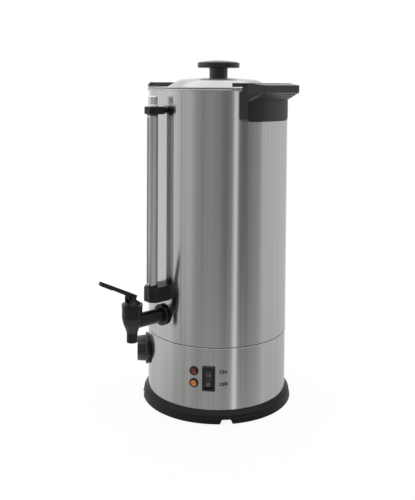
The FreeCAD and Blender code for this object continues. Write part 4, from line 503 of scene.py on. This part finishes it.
    def build(self) -> None:
        """Makes everything round the urn."""
        self.camera()
        self.world()
        self.floor()
        self.ceiling_light()
        bpy.context.scene.view_settings.view_transform = "Standard"


def placed(name: str, data: ID) -> Object:
    """Adds an object of the given data to the scene."""
    item = bpy.data.objects.new(name, data)
    bpy.context.scene.collection.objects.link(item)
    return item


@cache
def material_of(finish: Finish) -> Material:
    """Gives the one material of a finish, made at its first use."""
    return finish.make()


def paint(finishes: dict[Finish, str]) -> None:
    """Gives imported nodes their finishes.

    Args:
        finishes: For each finish, the names of its nodes.
    """
    for finish, names in finishes.items():
        for node in names.split():
            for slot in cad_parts[node].material_slots:
                slot.material = material_of(finish)
            LOG.info("painted %s with %s", node, finish.name)


@dataclass
class Shape:
    """Points of a mesh with its faces."""

    points: np.ndarray
    faces: list[tuple[int, ...]]

    def moved(self, place: "Seat | CasingSpot") -> "Shape":
        """Gives the same shape set on a seat or wrapped on the casing."""
        return Shape(place.set(self.points), self.faces)


def joined(shapes: list[Shape]) -> Shape:
    """Joins several shapes into one."""
    counts = np.cumsum([0] + [len(shape.points) for shape in shapes])
    faces = [tuple(int(corner + count) for corner in face)
             for shape, count in zip(shapes, counts) for face in shape.faces]
    return Shape(np.vstack([shape.points for shape in shapes]), faces)


def grid_faces(rows: int, columns: int, round_rows: bool, round_columns: bool) -> np.ndarray:
    """Gives the quads of a grid of points that is stored row by row.

    Args:
        rows: How many rows it has.
        columns: How many columns it has.
        round_rows: Whether the last row joins the first.
        round_columns: Whether the last column joins the first.

    Returns:
        Four point numbers for each quad.
    """
    row, column = np.meshgrid(np.arange(rows if round_rows else rows - 1),
                              np.arange(columns if round_columns else columns - 1), indexing="ij")
    next_row, next_column = (row + 1) % rows, (column + 1) % columns
    quads = (row * columns + column, row * columns + next_column,
             next_row * columns + next_column, next_row * columns + column)
    return np.stack(quads, axis=-1).reshape(-1, 4)


def turned(profile: np.ndarray, segments: int, ring: bool = False) -> Shape:
    """Turns a profile about Z: a point of radius r and height z goes to (r cos a, r sin a, z) for each angle a.

    Args:
        profile: Pairs of radius and height, from pole to pole or round a ring's section.
        segments: How many angles.
        ring: Whether the profile closes on itself.

    Returns:
        The surface.
    """
    profile = np.asarray(profile, float)
    angle = np.linspace(0, 2 * np.pi, segments, endpoint=False)[:, None]
    points = np.stack((profile[:, 0] * np.cos(angle), profile[:, 0] * np.sin(angle),
                       np.broadcast_to(profile[:, 1], (segments, len(profile)))), axis=-1)
    return Shape(points.reshape(-1, 3), grid_faces(segments, len(profile), True, ring).tolist())


def swept(path: np.ndarray, side: np.ndarray, up: np.ndarray, section: np.ndarray) -> Shape:
    """Carries a closed section along a path: each point is path + a * side + b * up, and both ends close.

    Args:
        path: Points of the path.
        side: Direction of the section's first number, one or one for each point.
        up: Direction of its second number.
        section: Pairs (a, b) round the section.

    Returns:
        The bar's surface.
    """
    side, up = (np.broadcast_to(direction, path.shape)[:, None] for direction in (side, up))
    section = np.asarray(section, float)
    rings = path[:, None] + section[None, :, :1] * side + section[None, :, 1:] * up
    middles = rings[[0, -1]].mean(axis=1, keepdims=True).repeat(len(section), axis=1)
    points = np.concatenate((middles[:1], rings, middles[1:]))
    return Shape(points.reshape(-1, 3), grid_faces(len(points), len(section), False, True).tolist())


def raised(outline: np.ndarray, height: float) -> Shape:
    """Raises a flat outline into a thin plate between 0 and its height.

    Args:
        outline: Pairs round the outline.
        height: How high it stands.

    Returns:
        The closed plate.
    """
    outline = np.asarray(outline, float)
    count = len(outline)
    points = np.vstack([np.column_stack((outline, np.full(count, level))) for level in (0.0, height)])
    sides = grid_faces(2, count, False, True).tolist()
    return Shape(points, [tuple(range(count)), tuple(range(count, 2 * count)), *sides])


def lettering(words: str, height: float, depth: float, weight: float = 0.0) -> Shape:
    """Makes raised letters about their middle, on the XY plane.

    Args:
        words: What they say.
        height: Height of a capital.
        depth: How far they are raised.
        weight: How far their strokes swell to each side.

    Returns:
        The letters as closed solids.
    """
    curve = bpy.data.curves.new("letters", "FONT")
    curve.body = words
    curve.size = height / CAPITAL_SHARE
    curve.align_x = "CENTER"
    curve.align_y = "CENTER"
    curve.extrude = depth / 2
    curve.offset = weight
    curve.resolution_u = LETTER_STEPS
    holder = bpy.data.objects.new("letters", curve)
    mesh = bpy.data.meshes.new_from_object(holder)
    points = np.empty(len(mesh.vertices) * 3)
    mesh.vertices.foreach_get("co", points)
    faces = [tuple(polygon.vertices) for polygon in mesh.polygons]
    bpy.data.objects.remove(holder)
    bpy.data.curves.remove(curve)
    bpy.data.meshes.remove(mesh)
    return Shape(points.reshape(-1, 3), faces)


@dataclass(frozen=True)
class Seat:
    """A flat place with its own across, up and outward directions."""

    origin: np.ndarray
    across: np.ndarray
    up: np.ndarray
    out: np.ndarray

    @classmethod
    def on_skirt(cls, azimuth: float, level: float) -> "Seat":
        """Makes the seat that touches the skirt.

        Args:
            azimuth: Degrees from the tap, positive to the right.
            level: The seat's height.

        Returns:
            The seat.
        """
        sine, cosine = math.sin(math.radians(azimuth)), math.cos(math.radians(azimuth))
        out = np.array((sine, -cosine, 0.0))
        return cls(out * SKIRT_RADIUS + UPWARDS * level, np.array((cosine, sine, 0.0)), UPWARDS, out)

    def found_on(self, node: str, across: float, up: float) -> "Seat":
        """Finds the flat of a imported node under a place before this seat.

        Args:
            node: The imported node.
            across: The place's distance across.
            up: Its distance upwards.

        Returns:
            The seat on the node's surface.
        """
        tree = BVHTree.FromObject(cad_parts[node], bpy.context.evaluated_depsgraph_get())
        start = self.origin + self.across * across + self.up * up + self.out * SEARCH_START
        spot, normal = tree.ray_cast(Vector(start), Vector(-self.out))[:2]
        out = np.array(normal)
        return Seat(np.array(spot), self.across, np.cross(out, self.across), out)

    def set(self, points: np.ndarray) -> np.ndarray:
        """Sets points given as across, up and out on the seat."""
        return self.origin + points @ np.stack((self.across, self.up, self.out))


@dataclass(frozen=True)
class CasingSpot:
    """A spot on the round casing, on which flat work is wrapped."""

    azimuth: float
    radius: float
    level: float

    def set(self, points: np.ndarray) -> np.ndarray:
        """Wraps points given as across, up and out: the angle grows by across / radius."""
        angle = math.radians(self.azimuth) + points[:, 0] / self.radius
        reach = self.radius + points[:, 2]
        return np.column_stack((reach * np.sin(angle), -reach * np.cos(angle), self.level + points[:, 1]))


@dataclass
class Piece:
    """One piece of the dressed urn, a closed one or an open sheet of some thickness."""

    name: str
    shape: Shape
    finish: Finish
    slot: str
    body: str = "urn"
    replaces: tuple[str, ...] = ()
    sheet: float = 0.0

    def make(self) -> Object:
        """Makes the object, dresses it and ties it to its body.

        Returns:
            The object.
        """
        mesh = bpy.data.meshes.new(self.name)
        mesh.from_pydata(self.shape.points.tolist(), [], self.shape.faces)
        work = bmesh.new()
        work.from_mesh(mesh)
        bmesh.ops.remove_doubles(work, verts=work.verts, dist=MERGE_DISTANCE)
        bmesh.ops.dissolve_degenerate(work, edges=work.edges, dist=MERGE_DISTANCE)
        if not self.sheet:
            bmesh.ops.recalc_face_normals(work, faces=work.faces)
        work.to_mesh(mesh)
        work.free()
        mesh.polygons.foreach_set("use_smooth", np.ones(len(mesh.polygons), bool))
        mesh.set_sharp_from_angle(angle=SHARP_ANGLE)
        mesh.materials.append(material_of(self.finish))
        piece = placed(self.name, mesh)
        if self.sheet:
            wall = piece.modifiers.new("wall", "SOLIDIFY")
            wall.thickness = self.sheet
            wall.offset = -1
            wall.use_even_offset = True
        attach(piece, self.body)
        if self.replaces:
            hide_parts(*self.replaces)
        LOG.info("made %s on %s, %d faces", self.name, self.body, len(mesh.polygons))
        return piece


@dataclass
class CasingSeams:
    """The casing's upright weld, the dark joint over the skirt and the skirt's rolled edge."""

    shell_radius: float = 0.11
    weld_azimuth: float = 18.7
    weld_span: tuple[float, float] = (0.1118, 0.4885)
    weld_half: float = 0.0004
    weld_heights: tuple[float, float, float] = (-0.0001, 0.00002, 0.00008)
    weld_rows: int = 60
    joint_level: float = 0.111
    joint_half: float = 0.0007
    edge_half: float = 0.00045
    edge_rise: float = 0.0004
    edge_sink: float = 0.0001
    joint_rise: float = 0.00012
    bead_depth: float = 0.0003
    bead_segments: int = 360
    bead_steps: int = 9

    def ring(self, level: float, half: float, inner: float, outer: float) -> Shape:
        """Makes a bead round the casing with a half-round face.

        Args:
            level: Its middle height.
            half: Half its height.
            inner: Radius of its back.
            outer: Radius of its crown.

        Returns:
            The bead.
        """
        angle = np.linspace(-np.pi / 2, np.pi / 2, self.bead_steps)
        profile = np.column_stack((inner + (outer - inner) * np.cos(angle), level + half * np.sin(angle)))
        back = [(inner - self.bead_depth, level + half), (inner - self.bead_depth, level - half)]
        return turned(np.vstack((profile, back)), self.bead_segments, ring=True)

    def build(self) -> None:
        """Makes the three seams."""
        heights = np.linspace(*self.weld_span, self.weld_rows)
        spot = CasingSpot(self.weld_azimuth, self.shell_radius, 0.0)
        path = np.outer(heights, (0, 1, 0))
        half, (foot, shoulder, crown) = self.weld_half, self.weld_heights
        section = [(-half, foot), (half, foot), (half, shoulder), (half / 2, crown), (-half / 2, crown),
                   (-half, shoulder)]
        weld = swept(path, ACROSS, UPWARDS, section).moved(spot)
        Piece("shell_weld", weld, WELD_STEEL, "brushed_steel").make()
        joint = self.ring(self.joint_level, self.joint_half, SKIRT_RADIUS, self.shell_radius + self.joint_rise)
        Piece("seam_joint", joint, SEAM_DARK, "rubber").make()
        level = self.joint_level - self.joint_half - self.edge_half
        edge = self.ring(level, self.edge_half, SKIRT_RADIUS - self.edge_sink, SKIRT_RADIUS + self.edge_rise)
        Piece("skirt_edge", edge, EDGE_STEEL, "brushed_steel").make()


@dataclass
class SightGauge:
    """The gauge's half-round steel cover with its slot and scale, its plated cap and the stay of its bracket."""

    low: float = 0.19605
    high: float = 0.45295
    front: float = 0.1388
    back: float = 0.1268
    half: float = 0.0086
    arc_steps: int = 14
    slot_half: float = 0.0013
    slot_inset: float = 0.0065
    slot_margin: float = 1.4
    # Degrees round half of the slot's rounded end
    slot_end: tuple[float, ...] = (12, 35, 60, 90)
    sheet: float = 0.0008
    tick_pitch: float = 0.005
    tick_half: float = 0.0002
    tick_heights: tuple[float, float] = (-0.00004, 0.00006)
    tick_columns: int = 4
    tick_span: tuple[float, float] = (0.21, 0.44)
    cap_reach: float = 0.13
    cap_level: float = 0.464
    cap_flutes: int = 8
    cap_depth: float = 0.09
    cap_wave: float = 0.5
    cap_fluted: tuple[float, float] = (0.0038, 0.0135)
    # Radius and height in millimetres, from the pole of its inside to that of its top
    cap_profile: Pairs = (
        (0, 11), (4.6, 11), (4.6, 0.02), (8.0, 0.02), (8.0, 1.8), (7.1, 2.6), (7.1, 4.0), (7.1, 12.5), (7.0, 14.0),
        (6.6, 15.2), (5.8, 15.8), (0, 15.9))
    cap_segments: int = 160
    stay_half: tuple[float, float] = (0.005, 0.0042)
    stay_level: float = 0.4585
    stay_span: tuple[float, float] = (-0.11985, -0.1085)
    stay_roundness: float = 0.4
    stay_rows: int = 6
    stay_points: int = 32

    def half_section(self) -> np.ndarray:
        """The right half of the cover's section: a quarter circle from the slot's edge, then a straight side."""
        turn = np.linspace(math.asin(self.slot_half / self.half), math.pi / 2, self.arc_steps)
        centre = self.front - self.half
        arc = np.column_stack((self.half * np.sin(turn), -centre - self.half * np.cos(turn)))
        return np.vstack((arc, (self.half, -self.back)))

    def cover(self) -> Shape:
        """Draws the cover's outer face: the section runs up from row to row, and its slot is left open.

        Returns:
            The open sheet, which a wall thickens inwards.
        """
        right = self.half_section()
        section = np.vstack((right[::-1] * (-1, 1), right))
        turn = np.radians(self.slot_end)
        start, stop = self.low + self.slot_inset, self.high - self.slot_inset
        margin = self.slot_margin * self.slot_half
        levels = np.concatenate(([self.low, start - margin], start - self.slot_half * np.cos(turn),
                                 stop + self.slot_half * np.cos(turn[::-1]), [stop + margin, self.high]))
        share = np.concatenate(([1, 1], np.sin(turn), np.sin(turn[::-1]), [1, 1]))
        count = len(section)
        points = np.empty((len(levels), count, 3))
        points[..., :2] = section
        points[..., 2] = levels[:, None]
        points[:, count // 2 - 1:count // 2 + 1, 0] *= share[:, None]
        faces = grid_faces(len(levels), count, False, False)
        row, column = np.divmod(np.arange(len(faces)), count - 1)
        open_slot = (column == count // 2 - 1) & (row >= 2) & (row < len(levels) - 3)
        return Shape(points.reshape(-1, 3), faces[~open_slot].tolist())

    def scale(self) -> Shape:
        """Draws the scale: short bars laid over the cover's right side, one each tick.

        Returns:
            The bars as one shape.
        """
        path = self.half_section()[:self.tick_columns]
        along = np.gradient(path, axis=0)
        outward = np.column_stack((along[:, 1], -along[:, 0]))
        outward /= np.linalg.norm(outward, axis=1, keepdims=True)
        half, (foot, crown) = self.tick_half, self.tick_heights
        section = [(foot, -half), (crown, -half), (crown, half), (foot, half)]
        side = np.column_stack((outward, np.zeros(len(path))))
        return joined([swept(np.column_stack((path, np.full(len(path), level))), side, UPWARDS, section)
                       for level in np.arange(*self.tick_span, self.tick_pitch)])

    def cap(self) -> Shape:
        """Turns the cap and draws its wall in by a share that follows the flutes round it.

        Returns:
            The cap.
        """
        cap = turned(np.array(self.cap_profile) / 1000, self.cap_segments)
        angle = np.arctan2(cap.points[:, 1], cap.points[:, 0])
        low, high = self.cap_fluted
        fluted = (cap.points[:, 2] > low) & (cap.points[:, 2] < high)
        wave = np.maximum(0, np.cos(self.cap_flutes * angle)) ** self.cap_wave
        cap.points[:, :2] *= (1 - self.cap_depth * wave * fluted)[:, None]
        cap.points[:] += (0, -self.cap_reach, self.cap_level)
        return cap

    def stay(self) -> Shape:
        """Carries a rounded section from the bracket's back to the shell: across = a sign(cos t) |cos t|^n, up alike.

        Returns:
            The stay.
        """
        across, up = self.stay_half
        turn = np.linspace(0, 2 * np.pi, self.stay_points, endpoint=False)
        section = np.column_stack([half * np.sign(wave) * np.abs(wave) ** self.stay_roundness
                                   for half, wave in ((across, np.cos(turn)), (up, np.sin(turn)))])
        reach = np.linspace(*self.stay_span, self.stay_rows)
        path = np.outer(reach, (0, 1, 0)) + UPWARDS * self.stay_level
        return swept(path, ACROSS, UPWARDS, section)

    def build(self) -> None:
        """Makes the cover, its scale, the cap and the stay."""
        Piece("gauge_cover", self.cover(), GUARD_STEEL, "brushed_steel", replaces=("gauge_guard",),
              sheet=self.sheet).make()
        Piece("gauge_scale", self.scale(), TICK_GREY, "black_moulding").make()
        Piece("gauge_top", self.cap(), BRIGHT_STEEL, "bright_steel", replaces=("gauge_cap",)).make()
        Piece("gauge_stay", self.stay(), TAP_PLASTIC, "black_gloss", replaces=("gauge_rail",)).make()


@dataclass
class TapSpring:
    """The coil spring over the valve stem, tied to the valve's body."""

    reach: float = 0.1665
    bottom: float = 0.1532
    top: float = 0.167
    coil_radius: float = 0.0055
    wire: float = 0.0006
    wire_points: int = 10
    turns: float = 6.5
    flat_turns: float = 0.75
    rows: int = 260
    travel: float = 0.003

    def build(self) -> None:
        """Winds the wire: its height follows the angle, and its ends are flat for three quarters of a turn."""
        angle = np.linspace(0, 2 * np.pi * self.turns, self.rows)
        share = np.clip((angle / (2 * np.pi) - self.flat_turns) / (self.turns - 2 * self.flat_turns), 0, 1)
        height = self.bottom + self.wire + share * (self.top - self.bottom - 2 * self.wire)
        outward = np.column_stack((np.cos(angle), np.sin(angle), np.zeros_like(angle)))
        path = outward * self.coil_radius + np.outer(height, UPWARDS) + (0, -self.reach, 0)
        turn = np.linspace(0, 2 * np.pi, self.wire_points, endpoint=False)
        section = np.column_stack((np.cos(turn), np.sin(turn))) * self.wire
        wire = swept(path, outward, UPWARDS, section)
        spring = Piece("tap_coil_spring", wire, BRIGHT_STEEL, "bright_steel", "valve", ("tap_spring",)).make()
        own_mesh(spring)


@dataclass
class TemperatureDial:
    """The plate behind the dial, the numbers on its face and the mark on the skirt."""

    azimuth: float = -35.0
    level: float = 0.075
    plate_inner: float = 0.0096
    plate_outer: float = 0.0227
    plate_front: float = 0.00065
    plate_segments: int = 96
    face: float = 0.018
    number_circle: float = 0.0138
    number_height: float = 0.0036
    number_count: int = 7
    number_step: float = math.radians(45)
    number_depth: float = 0.0001
    mark_level: float = 0.1032
    mark_outline: Pairs = ((-0.0016, 0.0014), (0, -0.0016), (0.0016, 0.0014))
    mark_height: float = 0.00006

    def back_plate(self) -> Shape:
        """A ring whose front is flat and whose back follows the skirt: out = sqrt(R R - x x) - R.

        Returns:
            The ring, on the dial's seat.
        """
        corners = ((self.plate_inner, 0), (self.plate_outer, 0), (self.plate_outer, 1), (self.plate_inner, 1))
        plate = turned(np.array(corners, float), self.plate_segments, ring=True)
        across, front = plate.points[:, 0], plate.points[:, 2] > 0
        skirt = np.sqrt(SKIRT_RADIUS ** 2 - across ** 2) - SKIRT_RADIUS
        plate.points[:, 2] = np.where(front, self.plate_front, skirt)
        return plate

    def numbers(self) -> Shape:
        """Sets the numbers on a circle, each turned outwards, growing against the clock from the top.

        Returns:
            The numbers, on the dial's seat.
        """
        shapes = []
        for number in range(self.number_count):
            digit = lettering(str(number), self.number_height, self.number_depth)
            turn = number * self.number_step
            sine, cosine = math.sin(turn), math.cos(turn)
            digit.points[:, 1] += self.number_circle
            digit.points = digit.points @ np.array(((cosine, sine, 0), (-sine, cosine, 0), (0, 0, 1)))
            digit.points[:, 2] += self.face
            shapes.append(digit)
        return joined(shapes)

    def build(self) -> None:
        """Makes the plate, the numbers and the mark."""
        seat = Seat.on_skirt(self.azimuth, self.level)
        Piece("dial_back_plate", self.back_plate().moved(seat), TAP_PLASTIC, "black_gloss").make()
        Piece("dial_numbers", self.numbers().moved(seat), PRINT_WHITE, "white_moulding", "thermostat_dial").make()
        mark = raised(self.mark_outline, self.mark_height)
        spot = CasingSpot(self.azimuth, SKIRT_RADIUS, self.mark_level)
        Piece("dial_mark", mark.moved(spot), PRINT_BLACK, "black_moulding").make()


@dataclass
class RockerSwitch:
    """The marks on the rocker and the words beside the switch."""

    azimuth: float = 42.1
    level: float = 0.065
    bar_half: tuple[float, float] = (0.0005, 0.0021)
    ring_radii: tuple[float, float] = (0.0014, 0.0021)
    ring_segments: int = 40
    flag_half: tuple[float, float] = (0.0015, 0.0009)
    mark_up: float = 0.0062
    bar_across: float = 0.0016
    flag_across: float = -0.0024
    mark_height: float = 0.00008
    word_height: float = 0.005
    word_weight: float = 0.00035
    word_depth: float = 0.00012
    on_spot: tuple[float, float] = (53.2, 0.0751)
    off_spot: tuple[float, float] = (53.6, 0.0567)

    def plate(self, half: tuple[float, float]) -> Shape:
        """A thin raised rectangle of the given half sides."""
        across, up = half
        return raised([(-across, -up), (across, -up), (across, up), (-across, up)], self.mark_height)

    def build(self) -> None:
        """Makes the bar and ring of the rocker, its red flag, and the two words."""
        seat = Seat.on_skirt(self.azimuth, self.level)
        upper = seat.found_on("switch_rocker", self.bar_across, self.mark_up)
        lower = seat.found_on("switch_rocker", 0.0, -self.mark_up)
        flag = seat.found_on("switch_rocker", self.flag_across, self.mark_up)
        inner, outer = self.ring_radii
        ring = turned([(inner, 0), (outer, 0), (outer, self.mark_height), (inner, self.mark_height)],
                      self.ring_segments, ring=True)
        marks = joined([self.plate(self.bar_half).moved(upper), ring.moved(lower)])
        Piece("rocker_marks", marks, PRINT_GREY, "white_moulding", "rocker").make()
        Piece("rocker_flag", self.plate(self.flag_half).moved(flag), MARK_RED, "red_lens", "rocker").make()
        for words, (azimuth, level) in (("ON", self.on_spot), ("OFF", self.off_spot)):
            shape = lettering(words, self.word_height, self.word_depth, self.word_weight)
            shape = shape.moved(CasingSpot(azimuth, SKIRT_RADIUS, level))
            Piece(f"switch_word_{words.lower()}", shape, PRINT_BLACK, "black_moulding").make()


@dataclass
class IndicatorLamps:
    """Two ringed lenses, each in its black rim."""

    azimuth: float = 30.4
    lenses: tuple[tuple[str, float, Finish], ...] = (("red", 0.075, RED_LENS), ("amber", 0.057, AMBER_LENS))
    segments: int = 64
    dome_steps: int = 44
    lens_radius: float = 0.0047
    crown: float = 0.0029
    fall: float = 0.0011
    stem_radius: float = 0.00335
    stem_end: float = -0.0049
    seat_rise: float = 0.0012
    rim_gap: float = 0.00005
    rim_edge: Pairs = ((0.00605, 0.0020), (0.0057, 0.0025), (0.0052, 0.0026))
    rim_lip: float = 0.0022
    ripple: float = 0.00007
    ripple_pitch: float = 0.00115

    def lens(self) -> Shape:
        """A dome with rings: height = crown - fall (r/R)^2 + ripple (1 - (r/R)^8) cos(2 pi r / pitch), on its stem.

        Returns:
            The lens about Z.
        """
        radius = np.linspace(self.lens_radius, 0, self.dome_steps)
        share = radius / self.lens_radius
        rings = self.ripple * (1 - share ** 8) * np.cos(2 * np.pi * radius / self.ripple_pitch)
        dome = self.crown - self.fall * share ** 2 + rings
        stem = [(0, self.stem_end), (self.stem_radius, self.stem_end), (self.stem_radius, self.seat_rise),
                (self.lens_radius, self.seat_rise)]
        return turned(np.vstack((stem, np.column_stack((radius, dome)))), self.segments)

    def rim(self) -> Shape:
        """The black rim round a lens: a ring with a rounded top."""
        inner, outer = self.lens_radius + self.rim_gap, self.rim_edge[0][0]
        corners = [(inner, self.seat_rise), (outer, self.seat_rise), *self.rim_edge, (inner, self.rim_lip)]
        return turned(corners, self.segments, ring=True)

    def build(self) -> None:
        """Makes both lenses and rims."""
        for colour, level, finish in self.lenses:
            seat = Seat.on_skirt(self.azimuth, level)
            Piece(f"lens_{colour}", self.lens().moved(seat), finish, f"{colour}_lens",
                  replaces=(f"lamp_{colour}",)).make()
            Piece(f"lens_rim_{colour}", self.rim().moved(seat), SWITCH_PLASTIC, "black_gloss").make()


@dataclass
class BaseScrewHeads:
    """Domed heads with a cross recess over the four screws under the base."""

    circle: float = 0.1046
    azimuths: tuple[float, ...] = (30.0, 120.0, 210.0, 300.0)
    segments: int = 120
    dome_steps: int = 34
    seat: float = 0.0118
    radius: float = 0.0033
    rise: float = 0.0009
    round_share: float = 1.01
    cross_half: float = 0.00045
    cross_reach: float = 0.0019
    cross_floor: float = -0.00005

    def head(self) -> Shape:
        """A head about Z: depth = rise sqrt(1 - (r/R)^2), R a little over its radius, nearly none in the cross.

        Returns:
            The head, hanging below its seat.
        """
        radius = np.linspace(self.radius, 0, self.dome_steps)
        depth = self.rise * np.sqrt(np.clip(1 - (radius / (self.radius * self.round_share)) ** 2, 0, 1))
        profile = np.vstack(((0, 0), np.column_stack((radius, -depth))))
        head = turned(profile, self.segments)
        across, up = np.abs(head.points[:, 0]), np.abs(head.points[:, 1])
        inside = (np.minimum(across, up) < self.cross_half) & (np.maximum(across, up) < self.cross_reach)
        head.points[inside, 2] = np.maximum(head.points[inside, 2], self.cross_floor)
        return head

    def build(self) -> None:
        """Makes the four heads as one piece."""
        heads = []
        for angle in np.radians(self.azimuths):
            head = self.head()
            head.points += (self.circle * np.sin(angle), -self.circle * np.cos(angle), self.seat)
            heads.append(head)
        Piece("base_screw_heads", joined(heads), ZINC_STEEL, "zinc_steel").make()


# The nodes that a piece replaces keep their packed material
NODE_FINISHES: dict[Finish, str] = {
    CASING_STEEL: "outer_shell base_skirt",
    LID_STEEL: "lid",
    TANK_STEEL: "inner_tank heating_element gauge_pipe",
    SEAM_DARK: "joint_ring",
    ZINC_STEEL: "heat_shield bottom_plate base_screws handle_screws lid_screw lid_washer thermostat_nut "
                "thermostat_shaft",
    BRIGHT_STEEL: "valve_stem",
    BRASS: "tap_nut gauge_nut element_nuts",
    HANDLE_PLASTIC: "handle_left handle_right lid_knob thermostat_knob",
    TAP_PLASTIC: "tap_body tap_bonnet tap_lever tap_collar lever_pin gauge_bracket gauge_block power_gland "
                 "gland_nut",
    BASE_PLASTIC: "base_ring",
    SWITCH_PLASTIC: "switch_housing lamp_holders",
    ROCKER_PLASTIC: "switch_rocker",
    PAD_RUBBER: "foot_pads tap_outer_gasket gauge_seals",
    SEAL_RUBBER: "tap_inner_gasket seat_cup gauge_washer element_seals",
    PALE_MOULDING: "boil_dry_cutout thermostat_body terminal_block",
    GAUGE_GLASS: "gauge_tube",
}


def main() -> None:
    """Builds the studio and dresses the urn."""
    logging.basicConfig(level=logging.INFO, format="%(message)s")
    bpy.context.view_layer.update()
    Studio().build()
    paint(NODE_FINISHES)
    for assembly in (CasingSeams(), SightGauge(), TapSpring(), TemperatureDial(), RockerSwitch(), IndicatorLamps(),
                     BaseScrewHeads()):
        assembly.build()


if __name__ == "__main__":
    main()
